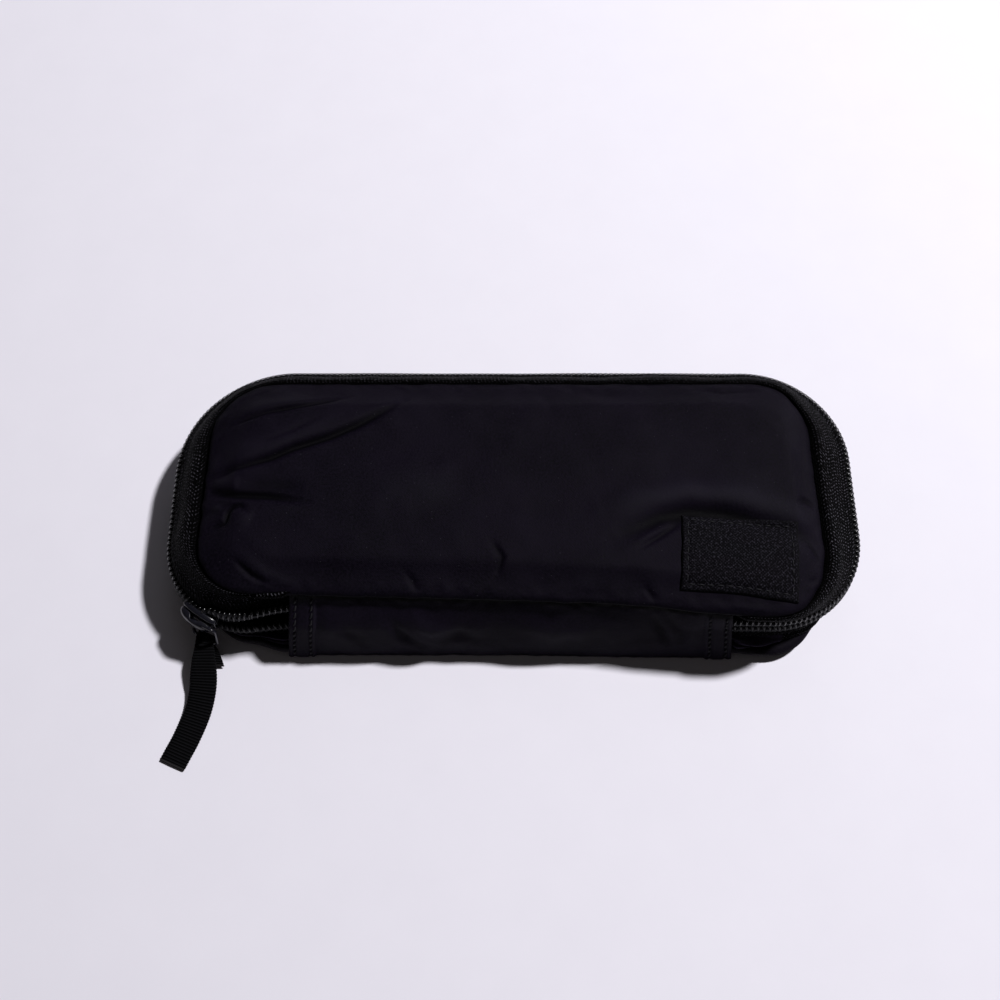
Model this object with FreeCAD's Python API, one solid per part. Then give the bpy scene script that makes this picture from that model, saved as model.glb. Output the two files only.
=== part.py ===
import FreeCAD, Part

import math
import os
from collections import namedtuple

# Soft padded case: two sewn half shells that meet at a coil zipper, joined along the front by a fabric spine.
# Millimetres. X runs along the case, Y from the spine (front, -Y) to the back, Z up from the surface it lies on.

Vector = FreeCAD.Vector
Edge = namedtuple("Edge", "x y_front y_back radii z_front z_back")

# The coil's outermost line: half length, front and back, corner radii front left, front right, back right, back left
COIL_X = 91.0
COIL_FRONT = -37.6
COIL_BACK = 37.6
COIL_RADII = (24.0, 26.0, 28.0, 31.0)
CHAIN_Z = 11.0

# The two panels are cut alike; the lid sits further back than the base and slopes down to the back
PANEL_X = 80.0
PANEL_DEPTH = 63.5
PANEL_RADII = (13.0, 18.0, 16.0, 17.0)
LID_FRONT = -33.5
LID_EDGE_FRONT_Z = 22.0
LID_EDGE_BACK_Z = 19.5
BASE_FRONT = -39.0
BASE_EDGE_Z = 1.2

# Cloth, foam and tape
COVER = 0.8
FOAM = 2.0
LINING = 0.5
TAPE = 0.8
FIT_GAP = 0.05
BINDING_WIDTH = 6.0
BINDING_THICK = 1.1
SMALLEST_RADIUS = 1.5

# How far each panel's face stands out of its edge, as (inset from the edge, rise)
LID_CROWN = ((3.0, 1.2), (8.0, 2.2), (16.0, 2.9), (26.0, 3.2))
BASE_CROWN = ((2.5, -BASE_EDGE_Z),)
LID_PAD_FRONT_INSET = 3.4
BASE_PAD_FRONT_INSET = 3.2

# Zipper coil, as the strip that its turns fill
COIL_THICK = 2.0
COIL_TO_TAPE = 0.2
COIL_GAP = 0.15
COIL_WIDE = 2.8
COIL_OPENING = 1.2
COIL_SPREAD = 2.3
COIL_LEAN = 0.45
TAPE_EDGE_ANGLE = 7.0
END_OVERLAP = 0.03
BAND_ANGLES = (TAPE_EDGE_ANGLE, 22.0, 38.0, 54.0, 70.0, 80.0, 90.0)

# Spine
SPINE_HALF = 55.5
SPINE_BOTTOM = (-39.3, 2.35)
SPINE_TOP = (-34.0, 20.9)
SPINE_BULGE = 0.6
SPINE_FOAM = 1.2
SPINE_LINING = 0.4
SPINE_END_GAP = 0.4
STITCH_WIDE = 1.0
STITCH_HIGH = 0.3
STITCH_INSETS = (1.6, 5.6)

# Label on the lid
LABEL_CENTRE = (56.8, -20.4)
LABEL_SIZE = (29.0, 20.0)
LABEL_TURN = -4.0
LABEL_THICK = 0.6
LABEL_STITCH_INSET = 1.0
LABEL_STITCH_WIDE = 0.7

# Slider on the front left corner of the chain
CORNER = Vector(-COIL_X + COIL_RADII[0], COIL_FRONT + COIL_RADII[0], CHAIN_Z)
SLIDER_ANGLE = 55.0
RUNNING_GAP = 0.35
PLATE = 1.2
OUTER_PLATE = (COIL_RADII[0] + RUNNING_GAP + 0.05, COIL_RADII[0] + RUNNING_GAP + 0.05 + PLATE)
INNER_PLATE = (18.2, 19.4)
FLANGE_RADIUS = 22.9
SLIDER_HALF_LONG = 5.2
REAR_HALF_HIGH = 4.0
NOSE_HALF_HIGH = 5.1
REAR_CHANNEL = COIL_GAP + COIL_WIDE + 0.3
NOSE_CHANNEL = NOSE_HALF_HIGH - 0.6
SHOULDER = (-2.5, 1.5)
INNER_HALF_HIGH = 4.0
POST_HALF_THICK = 0.7
CAP_LONG = (-4.4, 2.6)
CAP_HALF_HIGH = 2.2
CAP_RISE = 3.2
WIRE = 0.6
TUNNEL_RADIUS = WIRE + 0.3
TUNNEL_RISE = 1.6
SPRING_THICK = 0.3

# Wire link and webbing pull
LINK_TURN = -27.0
LINK_LONG = 8.2
LINK_BEND = 1.2
LINK_TOP = CAP_HALF_HIGH + LINK_BEND + 0.2
LINK_BOTTOM = -6.4
RIBBON_WIDE = 6.5
RIBBON_THICK = 0.8
RIBBON_LIFT = 0.02
# share of its width that the webbing keeps where it is gathered on the link
LINK_FILL = (LINK_LONG - 2 * LINK_BEND - 0.5) / RIBBON_WIDE
GATHER_STEP = 0.05
# Centre line of the long ply after it leaves the link, as (x, y, height of its underside)
RIBBON_ROUTE = (
    (-79.4, -40.0, 5.3),
    (-79.8, -42.9, 4.6),
    (-80.1, -46.7, 3.0),
    (-80.6, -50.7, 1.6),
    (-81.8, -55.7, 0.5),
    (-83.6, -61.5, RIBBON_LIFT),
    (-85.2, -66.0, RIBBON_LIFT),
    (-86.4, -69.0, RIBBON_LIFT),
)
TAIL_LONG = 6.2
TAIL_DROP = 2.6
TAIL_WAY = (0.17, -0.985)

LID_EDGE = Edge(PANEL_X, LID_FRONT, LID_FRONT + PANEL_DEPTH, PANEL_RADII, LID_EDGE_FRONT_Z, LID_EDGE_BACK_Z)
BASE_EDGE = Edge(PANEL_X, BASE_FRONT, BASE_FRONT + PANEL_DEPTH, PANEL_RADII, BASE_EDGE_Z, BASE_EDGE_Z)
COIL_EDGE = Edge(COIL_X, COIL_FRONT, COIL_BACK, COIL_RADII, CHAIN_Z, CHAIN_Z)


# ---- shapes that several pieces share ----

def slope_of(edge):
    return (edge.z_back - edge.z_front) / (edge.y_back - edge.y_front)


def inset_edge(edge, inset, rise=0.0, front_inset=None):
    """The same rounded rectangle, smaller by inset all round and moved up by rise, parallel to the first."""
    front = inset if front_inset is None else front_inset
    radii = tuple(max(r - inset, SMALLEST_RADIUS) for r in edge.radii)
    slope = slope_of(edge)
    return Edge(edge.x - inset, edge.y_front + front, edge.y_back - inset, radii,
                edge.z_front + rise + slope * front, edge.z_back + rise - slope * inset)


def outline(edge):
    """Closed wire of a rounded rectangle, counter-clockwise from the front edge, in a plane that slopes along Y."""
    slope = slope_of(edge)

    def at(x, y):
        return Vector(x, y, edge.z_front + slope * (y - edge.y_front))

    fl, fr, br, bl = edge.radii
    corners = (
        (edge.x - fr, edge.y_front + fr, fr, -90.0),
        (edge.x - br, edge.y_back - br, br, 0.0),
        (-edge.x + bl, edge.y_back - bl, bl, 90.0),
        (-edge.x + fl, edge.y_front + fl, fl, 180.0),
    )
    arcs = []
    for x, y, r, start in corners:
        turn = [math.radians(start + step) for step in (0.0, 45.0, 90.0)]
        arcs.append([at(x + r * math.cos(a), y + r * math.sin(a)) for a in turn])
    edges = []
    last = arcs[-1][2]
    for first, middle, end in arcs:
        edges.append(Part.makeLine(last, first))
        edges.append(Part.Arc(first, middle, end).toShape())
        last = end
    return Part.Wire(edges)


def solid_through(edges):
    """Solid whose sides run straight from each outline to the next."""
    return Part.makeLoft([outline(edge) for edge in edges], True, True)


def prism(edge, z_low, z_high):
    """Upright solid with the outline of an edge, between two heights."""
    flat = edge._replace(z_front=z_low, z_back=z_low)
    return Part.Face(outline(flat)).extrude(Vector(0, 0, z_high - z_low))


def box(low, high):
    size = [b - a for a, b in zip(low, high)]
    return Part.makeBox(*size, Vector(*low))


def strip(sections):
    """Solid through four-sided sections, each a list of its corner points."""
    wires = [Part.makePolygon(points + points[:1]) for points in sections]
    return Part.makeLoft(wires, True, True)


# ---- panels: cover, foam, lining and bound seam ----

def crowned(edge, crown, shift, skirt, front_inset=None, inset=0.0):
    """Solid from a flat skirt at the edge to the crowned face; shift moves the whole face."""
    rim = inset_edge(edge, inset, shift, front_inset)
    steps = [inset_edge(rim, step, rise) for step, rise in crown]
    return solid_through([inset_edge(rim, 0.0, skirt), rim] + steps)


def panel_cover(edge, crown, outwards):
    """Cloth cover of even thickness; outwards is 1 for a face that looks up and -1 for one that looks down."""
    face = crowned(edge, crown, 0.0, -outwards * COVER)
    under = crowned(edge, crown, -outwards * COVER, -outwards * COVER)
    return face.cut(under)


def panel_foam(edge, crown, outwards, front_inset):
    shift = -outwards * (COVER + FIT_GAP)
    return crowned(edge, crown, shift, -outwards * FOAM, front_inset, inset=1.0)


def panel_lining(edge, outwards, front_inset):
    """Flat lining under the foam; outwards as for the cover."""
    start = -outwards * (COVER + 2 * FIT_GAP + FOAM)
    top = inset_edge(edge, 1.0, start, front_inset)
    return solid_through([top, inset_edge(top, 0.0, -outwards * LINING)])


def seam_binding(edge, outwards, front_inset):
    """Ring of folded binding tape that covers the seam allowance, lying on the lining."""
    start = -outwards * (COVER + 3 * FIT_GAP + FOAM + LINING)
    outer = inset_edge(edge, 2.0, start, front_inset + 1.0)
    inner = inset_edge(outer, BINDING_WIDTH)
    below = -outwards * BINDING_THICK
    ring = solid_through([outer, inset_edge(outer, 0.0, below)])
    hole = solid_through([inset_edge(inner, 0.0, -below), inset_edge(inner, 0.0, 2 * below)])
    return ring.cut(hole)


# ---- zipper tapes and coils ----

def between(panel, angle, wall):
    """Outline of a tape band, from the chain (0 degrees) to the panel's edge (90), less its wall."""
    share = math.cos(math.radians(angle))
    climb = math.sin(math.radians(angle))
    chain = inset_edge(COIL_EDGE, COIL_THICK + COIL_TO_TAPE + wall)
    inwards = math.copysign(wall, CHAIN_Z - panel.z_front)

    def mix(a, b):
        return b + (a - b) * share

    radii = tuple(mix(c, p) for c, p in zip(chain.radii, panel.radii))
    return Edge(mix(chain.x, panel.x), mix(chain.y_front, panel.y_front), mix(chain.y_back, panel.y_back), radii,
                CHAIN_Z + (panel.z_front + inwards - CHAIN_Z) * climb,
                CHAIN_Z + (panel.z_back + inwards - CHAIN_Z) * climb)


SPINE_CLEAR = SPINE_HALF + SPINE_END_GAP


def spine_space():
    return box((-SPINE_CLEAR, COIL_FRONT - 10, -5), (SPINE_CLEAR, CORNER.y, 40))


def slider_corner():
    """The stretch of tape and coil that flexes beside the slider, from the left side to the spine."""
    return box((-COIL_X - 5, COIL_FRONT - 10, -5), (-SPINE_CLEAR, CORNER.y, 40))


def right_corner():
    """The stretch of coil that flexes round the right front corner, from the spine to the right side."""
    return box((SPINE_CLEAR, COIL_FRONT - 10, -5), (COIL_X + 5, COIL_FRONT + COIL_RADII[1], 40))


def tape_band(panel):
    """Curved band of tape from the panel's edge to the chain, open where the spine is."""
    outer = solid_through([between(panel, angle, 0.0) for angle in BAND_ANGLES])
    inner = solid_through([between(panel, angle, TAPE) for angle in BAND_ANGLES])
    inwards = math.copysign(1.0, CHAIN_Z - panel.z_front)
    end = solid_through([inset_edge(panel, -END_OVERLAP, rise) for rise in (inwards * TAPE, -5 * inwards)])
    return outer.cut(inner).cut(end).cut(spine_space())


def coil_strip(side):
    """The coil of one half, away from the slider corner; side is 1 for the lid and -1 for the base."""
    near, far = sorted((CHAIN_Z + side * COIL_GAP, CHAIN_Z + side * (COIL_GAP + COIL_WIDE)))
    ring = prism(COIL_EDGE, near, far).cut(prism(inset_edge(COIL_EDGE, COIL_THICK), near - 1, far + 1))
    return ring.cut(spine_space()).cut(slider_corner())


def coil_parting(angle):
    """How far a coil has moved away from the chain's middle, by its angle round the slider corner."""
    share = min(max((angle - SLIDER_ANGLE + 5.0) / 12.0, 0.0), 1.0)
    further = min(max((angle - 70.0) / 20.0, 0.0), 1.0)
    return COIL_OPENING * share * share * (3 - 2 * share) + 0.5 * (COIL_SPREAD - COIL_OPENING) * further


def coil_end(side):
    """The coil beside the slider: meshed behind it, parted ahead of it, up to the spine."""
    stations = []
    steps = 24
    for i in range(steps + 1):
        angle = 90.0 * i / steps
        way = Vector(-math.cos(math.radians(angle)), -math.sin(math.radians(angle)), 0)
        stations.append((CORNER, way, coil_parting(angle)))
    stations.append((Vector(-SPINE_CLEAR, CORNER.y, CHAIN_Z), Vector(0, -1, 0), COIL_SPREAD))
    sections = []
    for centre, way, parting in stations:
        lean = COIL_LEAN * max(parting - 1.0, 0.0) if side < 0 else 0.0
        inner = centre + way * (COIL_RADII[0] - COIL_THICK + lean)
        outer = centre + way * (COIL_RADII[0] + lean)
        near = Vector(0, 0, side * (COIL_GAP + parting))
        far = Vector(0, 0, side * (COIL_GAP + parting + COIL_WIDE))
        sections.append([inner + near, outer + near, outer + far, inner + far])
    return strip(sections)


# ---- spine ----

def spine_layer(start, thick):
    """One layer of the spine wall, between two depths behind its outer face."""
    (y0, z0), (y1, z1) = SPINE_BOTTOM, SPINE_TOP
    along = Vector(0, y1 - y0, z1 - z0).normalize()
    inwards = Vector(0, along.z, -along.y)
    ends = [Vector(-SPINE_HALF, y, z) for y, z in (SPINE_BOTTOM, SPINE_TOP)]
    ends = [ends[0] - along * 2, ends[1] + along * 2]
    middle = (ends[0] + ends[1]) / 2 - inwards * SPINE_BULGE

    def curve(depth, forwards):
        points = [p + inwards * depth for p in (ends[0], middle, ends[1])]
        return Part.Arc(*(points if forwards else points[::-1])).toShape()

    front, back = curve(start, True), curve(start + thick, False)
    top = Part.makeLine(front.Vertexes[-1].Point, back.Vertexes[0].Point)
    bottom = Part.makeLine(back.Vertexes[-1].Point, front.Vertexes[0].Point)
    wall = Part.Face(Part.Wire([front, top, back, bottom])).extrude(Vector(2 * SPINE_HALF, 0, 0))
    return wall.common(box((-90, -60, SPINE_BOTTOM[1]), (90, 0, SPINE_TOP[1])))


def spine_stitches():
    """Two upright rows of stitching at each end of the spine."""
    skin = spine_layer(-STITCH_HIGH, STITCH_HIGH)
    rows = []
    for inset in STITCH_INSETS:
        for side in (-1, 1):
            x = side * (SPINE_HALF - inset)
            slab = box((x - STITCH_WIDE / 2, -60, SPINE_BOTTOM[1] + 1), (x + STITCH_WIDE / 2, 0, SPINE_TOP[1] - 1))
            rows.append(skin.common(slab).Solids[0])
    return Part.makeCompound(rows)


# ---- label ----

def label_prism(inset):
    wide, deep = (size / 2 - inset for size in LABEL_SIZE)
    plate = box((-wide, -deep, 0), (wide, deep, 40))
    plate.rotate(Vector(), Vector(0, 0, 1), LABEL_TURN)
    plate.translate(Vector(*LABEL_CENTRE, 0))
    return plate


def on_lid(shape, start, thick):
    """The part of an upright solid that lies between two heights above the lid's crowned face."""
    top = crowned(LID_EDGE, LID_CROWN, start + thick, -COVER)
    under = crowned(LID_EDGE, LID_CROWN, start, -COVER - 2)
    return shape.common(top).cut(under)


def label_stitch_ring():
    return label_prism(LABEL_STITCH_INSET).cut(label_prism(LABEL_STITCH_INSET + LABEL_STITCH_WIDE))


# ---- slider: local axes are along the chain towards the nose, outwards, and up ----

def slider_frame():
    outwards = Vector(-math.cos(math.radians(SLIDER_ANGLE)), -math.sin(math.radians(SLIDER_ANGLE)), 0)
    along = Vector(-outwards.y, outwards.x, 0)
    return along, outwards


def slider_point(along, radius, up):
    """World point from the distance along the chain, the distance from the corner's axis, and the height."""
    tangent, outwards = slider_frame()
    return CORNER + tangent * along + outwards * radius + Vector(0, 0, up)


def slider_prism(points, low, high):
    """Polygon of (along, up) points, pushed outwards from one radius to another."""
    wire = Part.makePolygon([slider_point(a, low, u) for a, u in list(points) + [points[0]]])
    return Part.Face(wire).extrude(slider_frame()[1] * (high - low))


def mirrored(points):
    """Points of the upper half, and their mirror images below the middle, in order round the shape."""
    return list(points) + [(a, -u) for a, u in reversed(points)]


def corner_ring(low, high):
    """Round wall about the corner's axis, between two radii."""
    foot = CORNER - Vector(0, 0, 10)
    return Part.makeCylinder(high, 20, foot).cut(Part.makeCylinder(low, 20, foot))


def slider_shield(rear, nose, stretch=0.0):
    """Side view of the slider, narrow at the rear and wide where the two coils enter."""
    end = SLIDER_HALF_LONG + stretch
    return mirrored([(-end, rear), (SHOULDER[0], rear), (SHOULDER[1], nose), (end, nose)])


def slider_body():
    """Outer and inner plate, the flanges that hold the coils, and the post that parts them."""
    low, high = OUTER_PLATE
    shield = slider_shield(REAR_HALF_HIGH, NOSE_HALF_HIGH)
    channel = slider_shield(REAR_CHANNEL, NOSE_CHANNEL, stretch=1.0)
    outer = slider_prism(shield, low - 4, high + 2).common(corner_ring(low, high))
    flanges = slider_prism(shield, FLANGE_RADIUS - 4, low + 4).common(corner_ring(FLANGE_RADIUS, low))
    flanges = flanges.cut(slider_prism(channel, FLANGE_RADIUS - 5, low + 5))
    inner_shield = slider_shield(INNER_HALF_HIGH - 0.6, INNER_HALF_HIGH)
    inner = slider_prism(inner_shield, INNER_PLATE[0] - 4, INNER_PLATE[1] + 2).common(corner_ring(*INNER_PLATE))
    post_side = mirrored([(2.0, 0.1), (3.2, POST_HALF_THICK), (4.6, POST_HALF_THICK), (5.0, 0.4)])
    post = slider_prism(post_side, INNER_PLATE[0] + 0.4, low + 0.6)
    pin_hole = slider_prism(mirrored([(-2.6, 0.5), (-1.6, 0.5)]), low - 1, high + 1)
    return outer.fuse(flanges.Solids).fuse(inner).fuse(post).cut(pin_hole).removeSplitter()


def tunnel():
    foot = slider_point(0, OUTER_PLATE[1] + TUNNEL_RISE, -10)
    return Part.makeCylinder(TUNNEL_RADIUS, 20, foot)


def slider_cap():
    """Raised cap over the lock spring, with the tunnel that the link turns in."""
    low = OUTER_PLATE[1]
    rear, nose = CAP_LONG
    side = mirrored([(rear, CAP_HALF_HIGH - 0.7), (rear + 0.8, CAP_HALF_HIGH), (nose - 0.8, CAP_HALF_HIGH),
                     (nose, CAP_HALF_HIGH - 0.7)])
    cap = slider_prism(side, low - 1, low + CAP_RISE).cut(Part.makeCylinder(low, 30, CORNER - Vector(0, 0, 15)))
    hollow = slider_prism(mirrored([(rear + 0.8, 1.3), (-1.2, 1.3)]), low - 1, low + 1.9)
    return cap.cut(hollow).cut(tunnel())


def lock_spring():
    """Leaf inside the cap with the pin that drops between the coil's turns."""
    low = OUTER_PLATE[1]
    leaf = slider_prism(mirrored([(CAP_LONG[0] + 1.0, 1.1), (-1.4, 1.1)]), low + 1.2, low + 1.2 + SPRING_THICK)
    pin = slider_prism(mirrored([(-2.5, 0.4), (-1.7, 0.4)]), OUTER_PLATE[0] - 0.2, low + 1.3)
    return leaf.fuse(pin).removeSplitter()


# ---- link and webbing pull ----

def link_pivot():
    return slider_point(0, OUTER_PLATE[1] + TUNNEL_RISE, 0)


def link_direction():
    return Vector(math.cos(math.radians(LINK_TURN)), math.sin(math.radians(LINK_TURN)), 0)


def pull_link():
    """Closed wire link: a rounded rectangle that hangs in the cap's tunnel."""
    origin, way = link_pivot(), link_direction()

    def at(along, up):
        return origin + way * along + Vector(0, 0, up)

    bend = LINK_BEND
    short = bend * (1 - math.cos(math.radians(45)))
    low, high, far = LINK_BOTTOM, LINK_TOP, LINK_LONG
    edges = [
        Part.makeLine(at(0, low + bend), at(0, high - bend)),
        Part.Arc(at(0, high - bend), at(short, high - short), at(bend, high)).toShape(),
        Part.makeLine(at(bend, high), at(far - bend, high)),
        Part.Arc(at(far - bend, high), at(far - short, high - short), at(far, high - bend)).toShape(),
        Part.makeLine(at(far, high - bend), at(far, low + bend)),
        Part.Arc(at(far, low + bend), at(far - short, low + short), at(far - bend, low)).toShape(),
        Part.makeLine(at(far - bend, low), at(bend, low)),
        Part.Arc(at(bend, low), at(short, low + short), at(0, low + bend)).toShape(),
    ]
    section = Part.Wire(Part.makeCircle(WIRE, at(0, low + bend), Vector(0, 0, 1)))
    return Part.Wire(edges).makePipeShell([section], True, False)


def bar_centre():
    return link_pivot() + link_direction() * (LINK_LONG / 2) + Vector(0, 0, LINK_BOTTOM)


def ribbon_sections(stations):
    """Four-cornered sections of the webbing from (centre, width direction, thickness direction)."""
    sections = []
    for centre, wide, thick in stations:
        w = wide * (RIBBON_WIDE / 2)
        t = thick * (RIBBON_THICK / 2)
        sections.append([centre - w - t, centre + w - t, centre + w + t, centre - w + t])
    return sections


def wrap_stations():
    """The turn of webbing round the link's lower bar, from its underside over the inner side to the top."""
    way = link_direction()
    away = Vector(way.y, -way.x, 0)
    if away.y > 0:
        away = away * -1
    radius = WIRE + 0.22 + RIBBON_THICK / 2
    stations = []
    for degrees in (-80, -120, -160, -200, -240, -275):
        a = math.radians(degrees)
        out = away * math.cos(a) + Vector(0, 0, math.sin(a))
        stations.append((bar_centre() + out * radius, way * LINK_FILL, out))
    return stations, away


def pull_ribbon():
    """Webbing folded round the link: a short ply under a long one that comes down to the surface and lies on it."""
    wrap, away = wrap_stations()
    up = Vector(0, 0, 1)
    tail = []
    for share in (1.0, 0.66, 0.33):
        centre = wrap[0][0] + Vector(*TAIL_WAY, 0) * (TAIL_LONG * share) + up * (-TAIL_DROP * share)
        tail.append((centre, (wrap[0][1] * (1 - share) + Vector(1, 0, 0) * share).normalize(), up * -1))
    points = [Vector(x, y, z + RIBBON_THICK / 2) for x, y, z in RIBBON_ROUTE]
    stations = tail + wrap
    last = wrap[-1][0]
    for i, point in enumerate(points):
        ahead = points[min(i + 1, len(points) - 1)] - (points[i - 1] if i else last)
        wide = ahead.cross(up).normalize() * -1
        thick = wide.cross(ahead).normalize()
        thick = thick if thick.z > 0 else thick * -1
        fill = min(1.0, LINK_FILL + GATHER_STEP * i)
        stations.append((point, wide * fill, thick))
    return strip(ribbon_sections(stations))


# ---- the whole case ----

def build():
    left, right = slider_corner(), right_corner()
    lid_tape = tape_band(LID_EDGE)
    lid_coil = coil_strip(1)
    return {
        "base_cover": panel_cover(BASE_EDGE, BASE_CROWN, -1),
        "base_foam_pad": panel_foam(BASE_EDGE, BASE_CROWN, -1, BASE_PAD_FRONT_INSET),
        "base_lining": panel_lining(BASE_EDGE, -1, BASE_PAD_FRONT_INSET),
        "base_seam_binding": seam_binding(BASE_EDGE, -1, BASE_PAD_FRONT_INSET),
        "base_zipper_tape": tape_band(BASE_EDGE),
        "base_zipper_coil": coil_strip(-1),
        "base_coil_slider_end": coil_end(-1),
        "spine_cover": spine_layer(0, COVER),
        "spine_foam": spine_layer(COVER, SPINE_FOAM),
        "spine_lining": spine_layer(COVER + SPINE_FOAM, SPINE_LINING),
        "spine_end_stitching": spine_stitches(),
        "lid_cover": panel_cover(LID_EDGE, LID_CROWN, 1),
        "lid_foam_pad": panel_foam(LID_EDGE, LID_CROWN, 1, LID_PAD_FRONT_INSET),
        "lid_lining": panel_lining(LID_EDGE, 1, LID_PAD_FRONT_INSET),
        "lid_seam_binding": seam_binding(LID_EDGE, 1, LID_PAD_FRONT_INSET),
        "lid_zipper_tape": lid_tape.cut(left),
        "lid_tape_slider_end": lid_tape.common(left),
        "lid_zipper_coil": lid_coil.cut(right),
        "lid_coil_right_end": lid_coil.common(right),
        "lid_coil_slider_end": coil_end(1),
        "label_patch": on_lid(label_prism(0), 0, LABEL_THICK),
        "label_stitching": on_lid(label_stitch_ring(), LABEL_THICK, STITCH_HIGH),
        "slider_body": slider_body(),
        "slider_cap": slider_cap(),
        "slider_lock_spring": lock_spring(),
        "pull_link": pull_link(),
        "pull_ribbon": pull_ribbon(),
    }


def main():
    os.makedirs("parts", exist_ok=True)
    for name, shape in build().items():
        shape.exportStep(os.path.join("parts", name + ".step"))
        print(name, "valid" if shape.isValid() else "INVALID", len(shape.Solids), round(shape.Volume, 1))


main()
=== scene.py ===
import math

import bmesh
import bpy
import numpy as np
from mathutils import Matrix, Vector, noise
from mathutils.bvhtree import BVHTree


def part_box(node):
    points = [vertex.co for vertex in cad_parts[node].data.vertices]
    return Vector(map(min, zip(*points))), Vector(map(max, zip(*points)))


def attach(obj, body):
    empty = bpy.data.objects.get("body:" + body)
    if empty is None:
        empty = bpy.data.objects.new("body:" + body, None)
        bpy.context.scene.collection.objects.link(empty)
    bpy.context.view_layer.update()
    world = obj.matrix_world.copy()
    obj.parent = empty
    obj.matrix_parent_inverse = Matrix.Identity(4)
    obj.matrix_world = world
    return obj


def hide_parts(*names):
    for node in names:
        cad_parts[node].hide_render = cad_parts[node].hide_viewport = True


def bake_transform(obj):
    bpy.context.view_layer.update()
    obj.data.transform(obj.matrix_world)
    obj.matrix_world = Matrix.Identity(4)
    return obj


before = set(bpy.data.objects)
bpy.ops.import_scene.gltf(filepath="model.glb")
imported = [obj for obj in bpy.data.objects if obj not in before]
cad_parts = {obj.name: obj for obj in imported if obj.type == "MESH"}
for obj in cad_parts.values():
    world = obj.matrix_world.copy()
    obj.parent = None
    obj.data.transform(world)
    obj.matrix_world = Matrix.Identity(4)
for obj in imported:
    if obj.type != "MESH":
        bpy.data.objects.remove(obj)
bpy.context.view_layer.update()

# All shapes are worked out in millimetres in the row frame and scaled when a mesh is made.
MM = 0.001


def cad_mm(node):
    low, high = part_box(node)
    return np.array(low) / MM, np.array(high) / MM


# ---- sizes that come from the CAD frame ----
coil_hi = cad_mm("base_zipper_coil")[1]
lid_lo, lid_hi = cad_mm("lid_cover")
base_lo, base_hi = cad_mm("base_cover")
spine_lo, spine_hi = cad_mm("spine_cover")
label_lo, label_hi = cad_mm("label_patch")

COIL_X = coil_hi[0]
COIL_BACK = coil_hi[1]
COIL_FRONT = -COIL_BACK
CHAIN_LIFT = 0.15  # from the top of the base coil's CAD strip to the chain's middle
CHAIN_Z = coil_hi[2] + CHAIN_LIFT
PANEL_X = lid_hi[0]
LID_FRONT, LID_BACK = lid_lo[1], lid_hi[1]
BASE_FRONT, BASE_BACK = base_lo[1], base_hi[1]
SPINE_HALF = spine_hi[0]
SPINE_SHIFT = -1.0  # the spine sits a little to the left of the middle
SPINE_CLEAR = SPINE_HALF - 3.5  # where the zipper's ends go in under the spine

# ---- sizes repeated from the CAD source ----
COIL_RADII = (24.0, 26.0, 28.0, 31.0)
PANEL_RADII = (13.0, 18.0, 16.0, 17.0)
LID_EDGE_Z = (22.0, 19.5)
BASE_EDGE_Z = 1.2
SLIDER_ANGLE = 55.0
CORNER = np.array([-COIL_X + COIL_RADII[0], COIL_FRONT + COIL_RADII[0], CHAIN_Z])
COIL_THICK = 2.0
RIBBON_THICK = 0.8

# ---- sizes that only the visual model has ----
PITCH = 1.5  # one turn of the coil
END_REACH = 15.0  # length of the zipper's ends next to the spine
RIBBON_WIDE = 7.1  # a little wider than in the CAD source


# ================= small numeric helpers =================

def smooth(a, b, v):
    t = np.clip((np.asarray(v, float) - a) / (b - a), 0, 1)
    return t * t * (3 - 2 * t)


def noise_at(points, size, seed=0.0):
    """Smooth noise, about -1 to 1, at each point in millimetres; size is the length of one bump."""
    flat = np.asarray(points, float).reshape(-1, 3) / size + seed
    out = np.array([noise.noise(Vector(p)) for p in flat])
    return out.reshape(np.asarray(points).shape[:-1])


def layered_noise(points, *layers):
    """Sum of noises, each with its height, size and seed."""
    return sum(height * noise_at(points, size, seed) for height, size, seed in layers)


def catmull(a, count):
    """Resamples the first axis of an array to count rows, along Catmull-Rom curves."""
    n = len(a)
    t = np.linspace(0, n - 1, count)
    i = np.clip(np.floor(t).astype(int), 0, n - 2)
    f = (t - i).reshape((-1,) + (1,) * (a.ndim - 1))
    p0, p1, p2, p3 = a[np.maximum(i - 1, 0)], a[i], a[i + 1], a[np.minimum(i + 2, n - 1)]
    square = 2 * p0 - 5 * p1 + 4 * p2 - p3
    cube = 3 * p1 - p0 - 3 * p2 + p3
    return 0.5 * (2 * p1 + (p2 - p0) * f + square * f**2 + cube * f**3)


def resample(grid, rows, cols):
    return np.swapaxes(catmull(np.swapaxes(catmull(grid, rows), 0, 1), cols), 0, 1)


def unit(v):
    return v / np.maximum(np.linalg.norm(v, axis=-1, keepdims=True), 1e-9)


def grid_normals(grid):
    return unit(np.cross(np.gradient(grid, axis=1), np.gradient(grid, axis=0)))


def lengths_along(points):
    steps = np.linalg.norm(np.diff(points, axis=0), axis=1)
    return np.concatenate([[0], np.cumsum(steps)])


def interpolate(s, distance, table):
    """Rows of a table at distances s, where distance says how far along each of its rows is."""
    return np.stack([np.interp(s, distance, column) for column in table.T], -1)


# ================= mesh makers =================

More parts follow.
